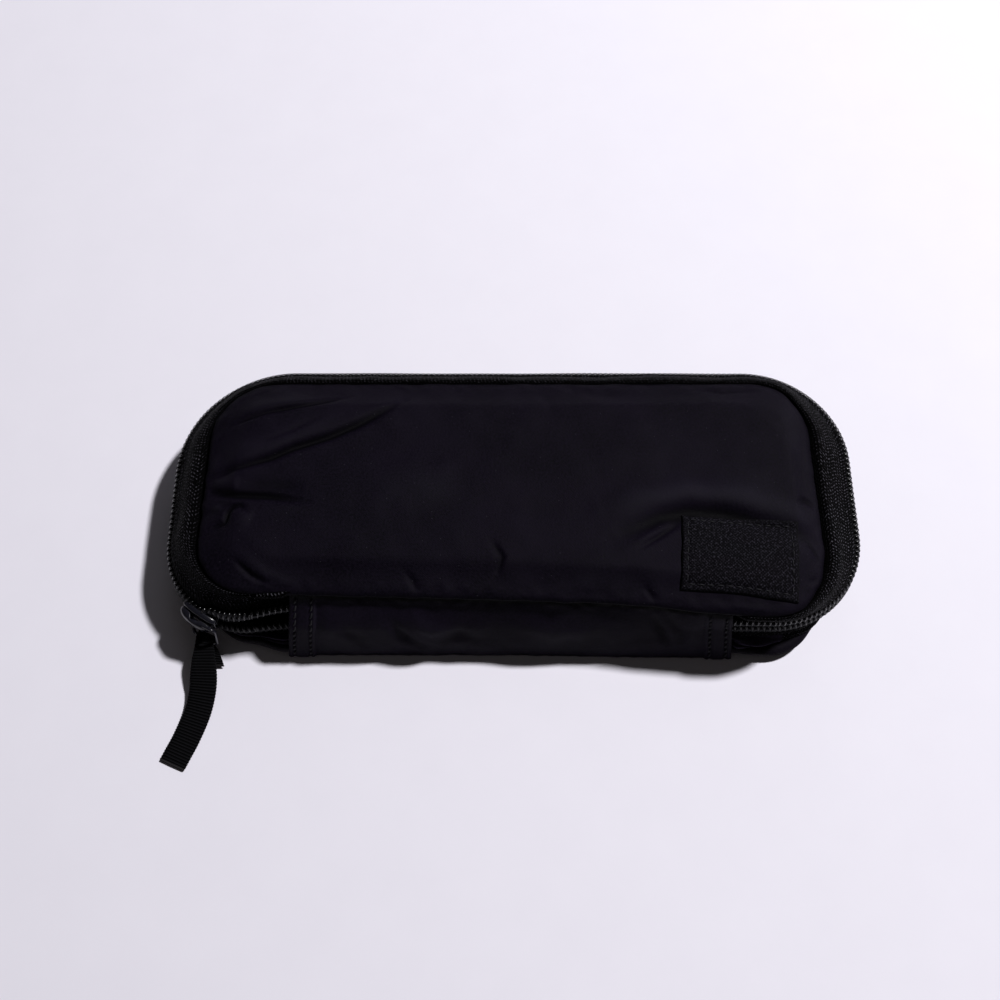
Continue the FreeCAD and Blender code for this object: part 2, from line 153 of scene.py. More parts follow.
def make_mesh(name, verts, faces, uvs=None, wear_and_shade=None):
    """Object from points in millimetres; each vertex may have a uv pair in millimetres and a value that the
    materials read as wear and as painted shade.
    """
    mesh = bpy.data.meshes.new(name)
    mesh.from_pydata((np.asarray(verts, float) * MM).tolist(), [], [list(f) for f in faces])
    mesh.update()
    if uvs is not None:
        layer = mesh.uv_layers.new(name="weave")
        index = np.zeros(len(mesh.loops), int)
        mesh.loops.foreach_get("vertex_index", index)
        layer.data.foreach_set("uv", np.asarray(uvs, float)[index].astype(np.float32).ravel())
    if wear_and_shade is not None:
        attribute = mesh.attributes.new("wear_and_shade", "FLOAT", "POINT")
        attribute.data.foreach_set("value", np.asarray(wear_and_shade, np.float32).ravel())
    mesh.polygons.foreach_set("use_smooth", [True] * len(mesh.polygons))
    obj = bpy.data.objects.new(name, mesh)
    bpy.context.scene.collection.objects.link(obj)
    return obj


def grid_faces(rows, cols, first=0, flip=False, wrap=False):
    faces = []
    for j in range(rows - 1):
        near, far = first + j * cols, first + (j + 1) * cols
        for i in range(cols if wrap else cols - 1):
            k = (i + 1) % cols
            quad = (near + i, near + k, far + k, far + i)
            faces.append(quad[::-1] if flip else quad)
    return faces


def bridge(a, b):
    """Faces between two closed rows of points, given by their indices."""
    n = len(a)
    return [(a[i], a[(i + 1) % n], b[(i + 1) % n], b[i]) for i in range(n)]


def end_caps(rings, sides):
    """Faces that close both ends of a row of rings."""
    return [tuple(range(sides))[::-1], tuple((rings - 1) * sides + i for i in range(sides))]


def grid_uv(grid):
    """Distances along and across a grid, in millimetres, measured along its middle row and column."""
    along = lengths_along(grid[len(grid) // 2])
    across = lengths_along(grid[:, grid.shape[1] // 2])
    return np.stack(np.broadcast_arrays(along[None, :], across[:, None]), -1)


def shell(name, grid, thick, uv=None, wear_and_shade=None, outward=None):
    """Closed sheet of even thickness: the grid is its outer face, and thick is how far it goes in."""
    rows, cols = grid.shape[:2]
    normal = grid_normals(grid)
    if outward is not None and (normal * outward).sum() < 0:
        normal = -normal
    flip = (np.cross(grid[1, 1] - grid[0, 0], grid[1, 0] - grid[0, 1]) * normal[0, 0]).sum() > 0
    inner = grid - normal * thick
    inner[..., 2] = np.maximum(inner[..., 2], 0.05)
    count = rows * cols
    faces = grid_faces(rows, cols, 0, not flip) + grid_faces(rows, cols, count, flip)
    loop = boundary_loop(rows, cols)
    rim = bridge(loop, [i + count for i in loop])
    faces += [quad[::-1] for quad in rim] if flip else rim
    uv = grid_uv(grid) if uv is None else uv
    uvs = np.concatenate([uv.reshape(-1, 2)] * 2)
    wear_and_shade = None if wear_and_shade is None else np.concatenate([wear_and_shade.ravel(), wear_and_shade.ravel()])
    obj = make_mesh(name, np.concatenate([grid.reshape(-1, 3), inner.reshape(-1, 3)]), faces, uvs, wear_and_shade)
    fix_normals(obj)
    return obj


def fix_normals(obj):
    work = bmesh.new()
    work.from_mesh(obj.data)
    bmesh.ops.recalc_face_normals(work, faces=work.faces)
    work.to_mesh(obj.data)
    work.free()


def boundary_loop(rows, cols):
    """Indices of a grid's border, in order: first row, last column, last row back, first column back."""
    last = (rows - 1) * cols
    return (list(range(cols)) + [j * cols + cols - 1 for j in range(1, rows)]
            + [last + i for i in range(cols - 2, -1, -1)] + [j * cols for j in range(rows - 2, 0, -1)])


def tube(path, radius, sides, closed=False, up=None):
    """Points and faces of a tube round a path; radius may differ along it."""
    path = np.asarray(path, float)
    n = len(path)
    tangent = unit(np.roll(path, -1, 0) - np.roll(path, 1, 0)) if closed else unit(np.gradient(path, axis=0))
    reference = np.array([0.0, 0.0, 1.0]) if up is None else up
    side = unit(np.cross(tangent, np.broadcast_to(reference, tangent.shape)))
    top = np.cross(side, tangent)
    radius = np.broadcast_to(np.asarray(radius, float), (n,))
    angles = np.linspace(0, 2 * math.pi, sides, endpoint=False)
    rings = (path[:, None] + side[:, None] * (np.cos(angles)[None, :, None] * radius[:, None, None])
             + top[:, None] * (np.sin(angles)[None, :, None] * radius[:, None, None]))
    faces = grid_faces(n, sides, wrap=True)
    faces += bridge(range((n - 1) * sides, n * sides), range(sides)) if closed else end_caps(n, sides)
    return rings.reshape(-1, 3), faces


def tubes(name, parts):
    """One object from several (points, faces) pairs."""
    verts, faces, first = [], [], 0
    for points, quads in parts:
        verts.append(points)
        faces += [tuple(first + i for i in q) for q in quads]
        first += len(points)
    obj = make_mesh(name, np.concatenate(verts), faces)
    fix_normals(obj)
    return obj


def stitches(path, normals, long, gap, radius, sink=0.1, slant=0.0, across=None):
    """Short capsule threads laid along a path, each sunk at both ends."""
    distance = lengths_along(path)
    parts = []
    start = gap / 2
    while start + long < distance[-1]:
        t = np.linspace(0, 1, 7)
        at = interpolate(start + long * t, distance, path)
        n = interpolate(start + long * t, distance, normals)
        lift = np.sin(math.pi * t)[:, None] * (radius + sink) - sink
        at = at + n * lift
        if across is not None:
            at = at + across * ((t - 0.5) * slant)[:, None]
        girth = radius * (0.55 + 0.45 * np.sin(math.pi * t))
        parts.append(tube(at, girth, 6, up=n[3] + np.array([1e-3, 2e-3, 0])))
        start += long + gap
    return parts


# ================= outlines =================

def arc(cx, cy, r, start, count):
    a = np.radians(np.linspace(start, start + 90, count))
    return np.stack([cx + r * np.cos(a), cy + r * np.sin(a)], -1)


def line(a, b, count):
    return np.linspace(a, b, count)


def three_sides(x, front, back, radii, n):
    """Runs of a rounded rectangle from its front right corner, round the back, to its front left corner."""
    fl, fr, br, bl = radii
    return [
        arc(x - fr, front + fr, fr, -90, n[0]), line((x, front + fr), (x, back - br), n[1]),
        arc(x - br, back - br, br, 0, n[2]), line((x - br, back), (-x + bl, back), n[3]),
        arc(-x + bl, back - bl, bl, 90, n[4]), line((-x, back - bl), (-x, front + fl), n[5]),
        arc(-x + fl, front + fl, fl, 180, n[6]),
    ]


def zip_path(x, front, back, radii, density=1):
    """Open outline from the spine's right end, round the right, back and left sides, to its left end."""
    start, *middle, end = [k * density for k in (11, 27, 27, 30, 90, 32, 24, 28, 11)]
    runs = [line((SPINE_CLEAR, front), (x - radii[1], front), start),
            *three_sides(x, front, back, radii, middle),
            line((-x + radii[0], front), (-SPINE_CLEAR, front), end)]
    return np.concatenate([runs[0]] + [run[1:] for run in runs[1:]])


def closed_path(x, front, back, radii):
    runs = [line((-x + radii[0], front), (x - radii[1], front), 90),
            *three_sides(x, front, back, radii, (16, 26, 16, 90, 16, 26, 16))]
    return np.concatenate([run[:-1] for run in runs])


def inward(outline, by):
    """The outline of a rounded rectangle, moved in on all sides."""
    x, front, back, radii = outline
    return x - by, front + by, back - by, tuple(r - by for r in radii)


def plane_z(y, front, back, z_front, z_back):
    return z_front + (z_back - z_front) * (y - front) / (back - front)


def lid_plane(y):
    return plane_z(y, LID_FRONT, LID_BACK, *LID_EDGE_Z)


def base_plane(y):
    return np.full(np.shape(y), BASE_EDGE_Z)


# Body, front edge, back edge and edge plane of the upper half (1) and the lower half (-1)
HALVES = {1: ("lid", LID_FRONT, LID_BACK, lid_plane), -1: ("base", BASE_FRONT, BASE_BACK, base_plane)}


def warp_lid(points):
    """The lid's front edge sits back a little and runs forward towards the right end."""
    p = np.array(points, float)
    share = smooth(12.5, 20, p[..., 2]) * (1 - smooth(-24, 16, p[..., 1]))
    right = smooth(-30, 60, p[..., 0])
    p[..., 1] -= (0.026 + 0.020 * right) * p[..., 0] * share
    p[..., 1] += 1.5 * share * (1 - smooth(26, 60, p[..., 0]))
    p[..., 0] -= 1.8 * smooth(70, 80, p[..., 0]) * smooth(14.5, 19, p[..., 2])
    return p


def warp_base(points):
    """The base is drawn in between the slider and the spine."""
    p = np.array(points, float)
    share = (1 - smooth(-38, -20, p[..., 1])) * (1 - smooth(9.0, 12.0, p[..., 2]))
    p[..., 1] += 2.2 * (1 - smooth(-68, -59, p[..., 0])) * share
    return p


def warp(points, side):
    return warp_lid(points) if side > 0 else warp_base(points)


# ================= cloth simulation =================

CLOTH_FRAMES = 24
CLOTH_SCALE = 20.0  # the sheet is simulated this many times larger
CLOTH_SETTINGS = {
    "quality": 8, "mass": 0.08, "tension_stiffness": 18, "compression_stiffness": 18, "shear_stiffness": 8,
    "bending_stiffness": 0.6, "air_damping": 2.0, "use_pressure": True, "vertex_group_mass": "held",
}


def cloth(grid, pressure, slack, cap):
    """Blows up a sheet held at its border; returns how far each point moved, at most cap, in millimetres."""
    rows, cols = grid.shape[:2]
    obj = make_mesh("simulated", grid.reshape(-1, 3) * CLOTH_SCALE, grid_faces(rows, cols))
    border = sorted(set(boundary_loop(rows, cols)))
    group = obj.vertex_groups.new(name="held")
    group.add(border, 1.0, "REPLACE")
    modifier = obj.modifiers.new("cloth", "CLOTH")
    settings = modifier.settings
    for key, value in CLOTH_SETTINGS.items():
        setattr(settings, key, value)
    settings.uniform_pressure_force = pressure
    settings.shrink_min = -slack
    settings.effector_weights.gravity = 0
    modifier.collision_settings.use_collision = False
    modifier.point_cache.frame_start = 1
    modifier.point_cache.frame_end = CLOTH_FRAMES
    for frame_number in range(1, CLOTH_FRAMES + 1):
        bpy.context.scene.frame_set(frame_number)
    evaluated = obj.evaluated_get(bpy.context.evaluated_depsgraph_get())
    moved = np.zeros(len(obj.data.vertices) * 3, np.float32)
    evaluated.data.vertices.foreach_get("co", moved)
    bpy.data.objects.remove(obj)
    bpy.context.scene.frame_set(1)
    shift = moved.reshape(grid.shape).astype(float) / (MM * CLOTH_SCALE) - grid
    size = np.linalg.norm(shift, axis=-1, keepdims=True)
    return shift * np.minimum(1.0, cap / np.maximum(size, 1e-6))


# ================= materials =================

class Nodes:
    """Short way to wire shader nodes."""

    def __init__(self, name):
        self.material = bpy.data.materials.new(name)
        self.material.use_nodes = True
        self.tree = self.material.node_tree
        self.shader = self.tree.nodes["Principled BSDF"]

    def add(self, kind, **values):
        node = self.tree.nodes.new(kind)
        for key, value in values.items():
            setattr(node, key, value)
        return node

    def link(self, source, target):
        self.tree.links.new(source, target)

    def feed(self, socket, value):
        if hasattr(value, "is_output"):
            self.link(value, socket)
        else:
            socket.default_value = value

    def math(self, operation, a, b=0.0, c=0.0, clamp=False):
        node = self.add("ShaderNodeMath", operation=operation, use_clamp=clamp)
        self.feed(node.inputs[0], a)
        self.feed(node.inputs[1], b)
        self.feed(node.inputs[2], c)
        return node.outputs[0]

    def uv(self):
        node = self.add("ShaderNodeUVMap", uv_map="weave")
        split = self.add("ShaderNodeSeparateXYZ")
        self.link(node.outputs[0], split.inputs[0])
        return node.outputs[0], split.outputs[0], split.outputs[1]

    def noise(self, vector, scale, detail=2.0, rough=0.5):
        node = self.add("ShaderNodeTexNoise")
        self.link(vector, node.inputs["Vector"])
        node.inputs["Scale"].default_value = scale
        node.inputs["Detail"].default_value = detail
        node.inputs["Roughness"].default_value = rough
        return node.outputs["Fac"]

    def ramp(self, value, low, high):
        node = self.add("ShaderNodeMapRange")
        self.link(value, node.inputs["Value"])
        node.inputs["From Min"].default_value = low
        node.inputs["From Max"].default_value = high
        return node.outputs["Result"]

    def mix(self, share, a, b):
        node = self.add("ShaderNodeMix", data_type="RGBA")
        self.feed(node.inputs["Factor"], share)
        for socket, value in ((node.inputs["A"], a), (node.inputs["B"], b)):
            self.feed(socket, value if hasattr(value, "is_output") else (*value, 1.0))
        return node.outputs["Result"]

    def weigh(self, *terms):
        """Sum of values, each times its weight."""
        total = None
        for value, weight in terms:
            term = self.math("MULTIPLY", value, weight)
            total = term if total is None else self.math("ADD", total, term)
        return total

    def lay(self, colour, mask, weight, over):
        """Lays one colour over another where the mask, times its weight, says so."""
        return self.mix(self.math("MULTIPLY", mask, weight, clamp=True), colour, over)

    def bump(self, height, strength, distance):
        node = self.add("ShaderNodeBump")
        self.link(height, node.inputs["Height"])
        node.inputs["Strength"].default_value = strength
        node.inputs["Distance"].default_value = distance
        self.link(node.outputs["Normal"], self.shader.inputs["Normal"])

    def attribute(self, name):
        return self.add("ShaderNodeAttribute", attribute_name=name).outputs["Fac"]

    def wave(self, value, period):
        return self.math("SINE", self.math("MULTIPLY", value, 2 * math.pi / period))

    def set(self, **values):
        for key, value in values.items():
            self.feed(self.shader.inputs[key.replace("_", " ")], value)

    def specks(self, vector, size, radius, share):
        """Tiny dots: about share of the cells of that size hold one."""
        node = self.add("ShaderNodeTexVoronoi", voronoi_dimensions="2D")
        self.link(vector, node.inputs["Vector"])
        node.inputs["Scale"].default_value = 1.0 / size
        split = self.add("ShaderNodeSeparateColor")
        self.link(node.outputs["Color"], split.inputs[0])
        near = self.math("LESS_THAN", node.outputs["Distance"], radius / size)
        chosen = self.math("GREATER_THAN", split.outputs[0], 1.0 - share)
        return self.math("MULTIPLY", near, chosen)


def nylon(name, dark, light, lint=0.06, wear_to=(0.030, 0.028, 0.040)):
    """Close twill nylon with a soft sheen, faint blotches, lint, lighter worn ridges and painted shade in
    folds and seams.
    """
    n = Nodes(name)
    vector, u, v = n.uv()
    twill = n.wave(n.math("ADD", u, v), 0.42)
    weft = n.wave(n.math("SUBTRACT", u, n.math("MULTIPLY", v, 0.55)), 0.36)
    yarn = n.weigh((twill, 0.5), (weft, 0.35))
    grain = n.noise(vector, 1.5, 3.0, 0.75)
    height = n.weigh((yarn, 0.45), (grain, 1.5))
    blotch = n.ramp(n.noise(vector, 0.035, 3.0, 0.6), 0.35, 0.68)
    fine = n.ramp(grain, 0.38, 0.66)
    worn_and_shaded = n.attribute("wear_and_shade")
    colour = n.lay(dark, blotch, 0.55, light)
    colour = n.lay(colour, fine, 0.75, light)
    # above zero the per-vertex value lightens worn ridges
    colour = n.lay(colour, worn_and_shaded, 0.5, wear_to)
    # painted shade: below zero the value darkens folds and seams towards near black
    colour = n.lay(colour, worn_and_shaded, -1.0, (0.0006, 0.0005, 0.0010))
    colour = n.lay(colour, n.specks(vector, 2.3, 0.075, lint), 0.35, (0.10, 0.10, 0.12))
    n.set(Base_Color=colour, Sheen_Weight=0.012, Sheen_Roughness=0.3, Specular_IOR_Level=0.045)
    n.shader.inputs["Sheen Tint"].default_value = (0.62, 0.60, 0.86, 1)
    n.link(n.ramp(grain, -0.9, 1.4), n.shader.inputs["Roughness"])
    n.bump(height, 0.7, 0.00010)
    return n.material


def herringbone(name, dark, light):
    """Zipper tape: fine slanted ribs that change direction every 1.6 mm, with painted glints on the yarn
    crowns and painted shade where the tape dives.
    """
    n = Nodes(name)
    vector, u, v = n.uv()
    fold = n.math("PINGPONG", v, 1.6)
    ribs = n.wave(n.math("ADD", u, n.math("MULTIPLY", fold, 1.1)), 0.95)
    cross = n.wave(v, 0.62)
    grain = n.noise(vector, 1.9, 2.0, 0.8)
    height = n.weigh((ribs, 0.42), (cross, 0.20), (grain, 2.2))
    # painted glints: the light colour on the highest yarn crowns
    colour = n.mix(n.ramp(height, 1.54, 1.74), dark, light)
    # painted shade where the tape dives beside the panel and beside the coil
    colour = n.lay(colour, n.attribute("wear_and_shade"), 1.0, (0.0002, 0.0002, 0.0003))
    n.set(Base_Color=colour, Roughness=0.6, Sheen_Weight=0.005, Sheen_Roughness=0.4, Specular_IOR_Level=0.02)
    n.bump(height, 1.0, 0.00020)
    return n.material


def woven_label(name):
    n = Nodes(name)
    vector, u, v = n.uv()
    cells = n.math("MULTIPLY", n.wave(u, 0.85), n.wave(v, 0.80))
    grain = n.noise(vector, 1.7, 2.0, 0.75)
    height = n.weigh((cells, 0.22), (grain, 2.3))
    colour = n.mix(n.ramp(height, 1.18, 1.70), (0.0014, 0.0012, 0.0022), (0.0235, 0.0218, 0.0305))
    # painted shade along the label's edge
    colour = n.lay(colour, n.attribute("wear_and_shade"), 0.9, (0.0008, 0.0008, 0.0010))
    n.set(Base_Color=colour, Roughness=0.75, Sheen_Weight=0.005, Sheen_Roughness=0.5, Specular_IOR_Level=0.04)
    n.bump(height, 0.9, 0.00013)
    return n.material


def ribbed(name, dark, light, rib=0.75):
    """Grosgrain and binding: ribs across, made of yarns."""
    n = Nodes(name)
    vector, u, v = n.uv()
    ribs = n.wave(u, rib)
    yarns = n.wave(v, 0.33)
    grain = n.noise(vector, 3.0, 2.0, 0.7)
    height = n.weigh((ribs, 0.7), (yarns, 0.2), (grain, 0.8))
    colour = n.mix(n.ramp(height, 0.2, 1.5), dark, light)
    colour = n.lay(colour, n.attribute("wear_and_shade"), 0.5, (0.05, 0.047, 0.05))
    n.set(Base_Color=colour, Roughness=0.62, Sheen_Weight=0.005, Sheen_Roughness=0.4, Specular_IOR_Level=0.05)
    n.bump(height, 0.7, 0.00012)
    return n.material


def solid_coords(n):
    return n.add("ShaderNodeTexCoord").outputs["Object"]


def glossy(name, colour, rough, coat=0.0, scratch=0.06, specular=0.3):
    """Paint or moulded plastic with faint scratches and uneven gloss."""
    n = Nodes(name)
    place = solid_coords(n)
    patches = n.noise(place, 900.0, 3.0, 0.6)
    smear = n.noise(place, 260.0, 2.0, 0.5)
    lighter = tuple(min(c * 2.2 + 0.006, 1) for c in colour)
    gloss = n.math("ADD", n.math("MULTIPLY", smear, scratch * 2), rough - scratch)
    n.set(Base_Color=n.lay(colour, patches, 0.5, lighter), Roughness=gloss,
          Coat_Weight=coat, Coat_Roughness=0.06, Specular_IOR_Level=specular)
    n.bump(patches, 0.12, 0.00005)
    return n.material


def thread(name, colour):
    n = Nodes(name)
    place = solid_coords(n)
    twist = n.noise(place, 4200.0, 2.0, 0.6)
    n.set(Base_Color=n.mix(twist, colour, tuple(c * 2.4 + 0.004 for c in colour)), Roughness=0.6,
          Sheen_Weight=0.03, Sheen_Roughness=0.4, Specular_IOR_Level=0.15)
    n.bump(twist, 0.5, 0.00006)
    return n.material


def steel(name):
    n = Nodes(name)
    grain = n.noise(solid_coords(n), 1800.0, 2.0, 0.6)
    n.set(Base_Color=n.mix(grain, (0.42, 0.42, 0.44), (0.62, 0.62, 0.63)), Metallic=1.0)
    n.link(n.ramp(grain, -0.6, 2.2), n.shader.inputs["Roughness"])
    return n.material


def paper_floor():
    n = Nodes("floor_paper")
    grain = n.noise(solid_coords(n), 60.0, 4.0, 0.6)
    colour = n.mix(grain, (0.780, 0.765, 0.850), (0.815, 0.800, 0.885))
    n.set(Base_Color=colour, Roughness=0.9, Specular_IOR_Level=0.2)
    return n.material


SHELL = nylon("shell_nylon", (0.0006, 0.0003, 0.0017), (0.0056, 0.0038, 0.0094))
# lighter copy of the lid's nylon: painted light for the base, which sits in the lid's shade
BASE_SHELL_LIT = nylon("base_nylon_painted_light", (0.0040, 0.0029, 0.0058), (0.0110, 0.0082, 0.0160), lint=0.05)
# lighter copy of the lid's nylon: painted light for the spine, which the key light hardly reaches
SPINE_SHELL_LIT = nylon("spine_nylon_painted_light", (0.0018, 0.0011, 0.0032), (0.0086, 0.0060, 0.0140), lint=0.03)
# lighter still: painted light for the folds in the shade under the coil
FOLD_SHELL_LIT = nylon("corner_nylon_painted_light", (0.0130, 0.0098, 0.0190), (0.0380, 0.0290, 0.0540), lint=0.03)
LINING = nylon("lining_fabric", (0.012, 0.012, 0.014), (0.024, 0.024, 0.028), lint=0.03,
               wear_to=(0.05, 0.05, 0.058))
# the tape's light colour is painted glints on the yarn crowns
TAPE = herringbone("zipper_tape_weave", (0.0003, 0.0003, 0.0004), (0.0680, 0.0650, 0.0800))
LABEL = woven_label("label_weave")
WEBBING = ribbed("grosgrain", (0.0010, 0.0010, 0.0014), (0.0062, 0.0060, 0.0074))
BINDING = ribbed("binding_weave", (0.004, 0.004, 0.0045), (0.022, 0.022, 0.025), rib=0.9)
COIL = glossy("coil_nylon", (0.0025, 0.0025, 0.0032), 0.21, specular=0.60)
# darker, duller copy of the coil's material: painted shade for the lower coil
LOWER_COIL_SHADED = glossy("lower_coil_nylon_painted_shade", (0.0020, 0.0020, 0.0026), 0.34, specular=0.20)
PAINT = glossy("slider_enamel", (0.004, 0.004, 0.007), 0.24, coat=0.10, scratch=0.05, specular=0.35)
THREAD = thread("black_thread", (0.004, 0.004, 0.0055))
STEEL = steel("spring_steel")


def dress(obj, material):
    obj.data.materials.clear()
    obj.data.materials.append(material)


# ================= panels =================

def inset_depth(x, y, half, front, back, radii):
    """How far a point lies inside a rounded rectangle."""
    mid, deep = (front + back) / 2, (back - front) / 2
    fl, fr, br, bl = radii
    r = np.where(y < mid, np.where(x < 0, fl, fr), np.where(x < 0, bl, br))
    qx = np.abs(x) - (half - r)
    qy = np.abs(y - mid) - (deep - r)
    outside = np.hypot(np.maximum(qx, 0), np.maximum(qy, 0))
    return r - outside - np.minimum(np.maximum(qx, qy), 0)


def panel_points(rows, cols, half, front, back, radii):
    """Grid that fills a rounded rectangle, closer together near its border."""
    fl, fr, br, bl = radii
    s = np.linspace(0, 1, rows)
    s = 0.55 * (1 - np.cos(math.pi * s)) / 2 + 0.45 * s
    y = front + (back - front) * s
    t = np.linspace(0, 1, cols)
    t = 0.35 * (1 - np.cos(math.pi * t)) / 2 + 0.65 * t

    def cut(r_front, r_back):
        near_front = np.maximum(r_front - (y - front), 0)
        near_back = np.maximum(r_back - (back - y), 0)
        return (r_front - np.sqrt(r_front**2 - near_front**2)) + (r_back - np.sqrt(r_back**2 - near_back**2))

    left, right = -half + cut(fl, bl), half - cut(fr, br)
    x = left[:, None] + (right - left)[:, None] * t[None, :]
    return x, np.broadcast_to(y[:, None], x.shape)


CROWN_HIGH, CROWN_RUN = 3.25, 6.5  # how high the lid's padding stands, and how soon it gets there


def crown(depth):
    return CROWN_HIGH * (1 - np.exp(-(np.maximum(depth, 0) / CROWN_RUN) ** 0.85))


def crease(x, y, points, width, height, skew=0.0):
    """A fold along a line of points, faded at both ends; skew leans it into a lit and a shaded side."""
    best = np.full(x.shape, 1e9)
    signed = np.zeros(x.shape)
    share = np.zeros(x.shape)
    pts = np.asarray(points, float)
    distance = lengths_along(np.column_stack([pts, np.zeros(len(pts))]))
    for k in range(len(pts) - 1):
        a, b = pts[k], pts[k + 1]
        d = b - a
        t = np.clip(((x - a[0]) * d[0] + (y - a[1]) * d[1]) / (d @ d), 0, 1)
        ox, oy = x - (a[0] + t * d[0]), y - (a[1] + t * d[1])
        away = np.hypot(ox, oy)
        side = (d[0] * oy - d[1] * ox) / np.linalg.norm(d)
        closer = away < best
        best = np.where(closer, away, best)
        signed = np.where(closer, np.sign(side) * away, signed)
        share = np.where(closer, (distance[k] + t * (distance[k + 1] - distance[k])) / distance[-1], share)
    q = signed / width
    fade = np.sin(math.pi * np.clip(share, 0.02, 0.98)) ** 0.6
    return height * fade * np.exp(-q * q) * (1 + skew * q)


# Folds of the lid's cover: points, width, height and lean
LID_FOLDS = (
    (((-74, 16), (-65.6, 19.0), (-54, 21.8), (-45, 24.0)), 0.9, -1.0, 0.7),
    (((-74, 20), (-64, 22.4), (-54, 25)), 2.2, 0.35, 0.0),
    (((-79, -1.2), (-69.4, 2.2), (-63, 4.5), (-57, 7.8), (-48, 11.4), (-41, 15), (-29, 22.5)),
     1.4, -1.45, 0.7),
    (((-76, 5.0), (-64, 9.0), (-54, 14.0), (-44, 19.5)), 3.0, 0.45, 0.0),
    (((-66, 9), (-58, 13), (-50, 18)), 1.0, -0.35, 0.6),
    (((-80, -5.0), (-70.9, -7.4), (-63, -7.8), (-53, -9.6)), 1.3, -1.35, 0.5),
    (((-72, -4.0), (-62, -4.6), (-53, -5.5)), 2.2, -0.75, 0.4),
    (((-78, -2.0), (-70, -3.4)), 2.0, 0.5, 0.0),
    (((-77.6, -16.8), (-73.4, -15.3), (-72.7, -12.2), (-71.4, -10.6), (-69.4, -10.3), (-67.6, -12.2)),
     0.9, -1.1, -0.6),
    (((-76.5, -12), (-75.2, -9.6)), 1.8, 0.5, 0.0),
    (((-70, -13.6), (-66, -15.0)), 2.4, 0.4, 0.0),
    (((-69.6, -26.0), (-65.7, -29.4), (-61.5, -31.2)), 0.8, -0.75, -0.6),
    (((-68, -25), (-62, -29.5), (-56, -31)), 1.3, 0.3, 0.0),
    (((-5.4, -19.5), (-2.8, -23.7), (-4.2, -28.5)), 1.0, -0.6, -1.0),
    (((25.0, -18.0), (33, -14.2), (38, -11.6), (45, -9.8), (53, -10.0), (62, -12), (72, -13.6), (79, -14.6)),
     2.5, -1.5, 0.5),
    (((22, -10), (34, -6), (44, -4), (56, -4.4), (68, -7.0), (79, -8.8)), 3.2, 1.0, 0.0),
    (((31.5, -20.4), (36.7, -16.6), (42.0, -12.6)), 0.8, -0.6, 0.8),
    (((30.5, -18.6), (35.5, -15.0), (39.0, -12.0)), 1.0, 0.3, 0.0),
    (((72.0, -5.4), (75.5, -4.2), (79.5, -5.6)), 0.8, -0.7, 0.8),
    (((74.5, -14.8), (76.4, -16.6), (78.4, -19.6)), 0.8, -0.55, 0.8),
    (((74.0, -25), (77, -24.2), (79, -25)), 1.0, -0.35, 0.8),
    (((-27.5, -28), (-25.5, -30.5), (-24.5, -33)), 0.9, -0.4, 0.8),
    (((32, -29.5), (33.6, -31.5), (34.5, -34)), 0.8, -0.45, 0.8),
    (((47, -33.9), (57, -32.9), (66, -34.3)), 1.5, 0.55, 0.0),
    (((6, 27), (9, 23), (10, 19)), 1.6, -0.2, 0.6),
    (((50, 28), (56, 26.5), (64, 27)), 1.2, -0.4, 0.6),
    (((12, 29.5), (20, 26), (31, 25)), 2.0, -0.3, 0.6),
    (((-12, -8), (6, -12), (22, -10)), 5.0, -0.4, 0.4),
    (((-40, -2), (-22, -5), (-8, -2)), 6.0, 0.35, 0.0),
)


COVER_THICK = 2.8
SIM_GRID = (34, 84)  # rows and columns of the simulated sheet
PANEL_GRID = (150, 360)  # rows and columns of the finished face
# The rolled edge: steps out from the border, and down
PRESSED_ROLL = ((0.45, -0.25), (0.85, -0.8), (1.0, -1.5), (0.85, -2.2), (0.45, -2.7), (-0.3, -2.9),
                (-1.2, -2.6))
RAISED_ROLL = ((0.28, -0.22), (0.38, -0.55), (0.25, -0.9), (-0.35, -1.15), (-1.1, -1.3))


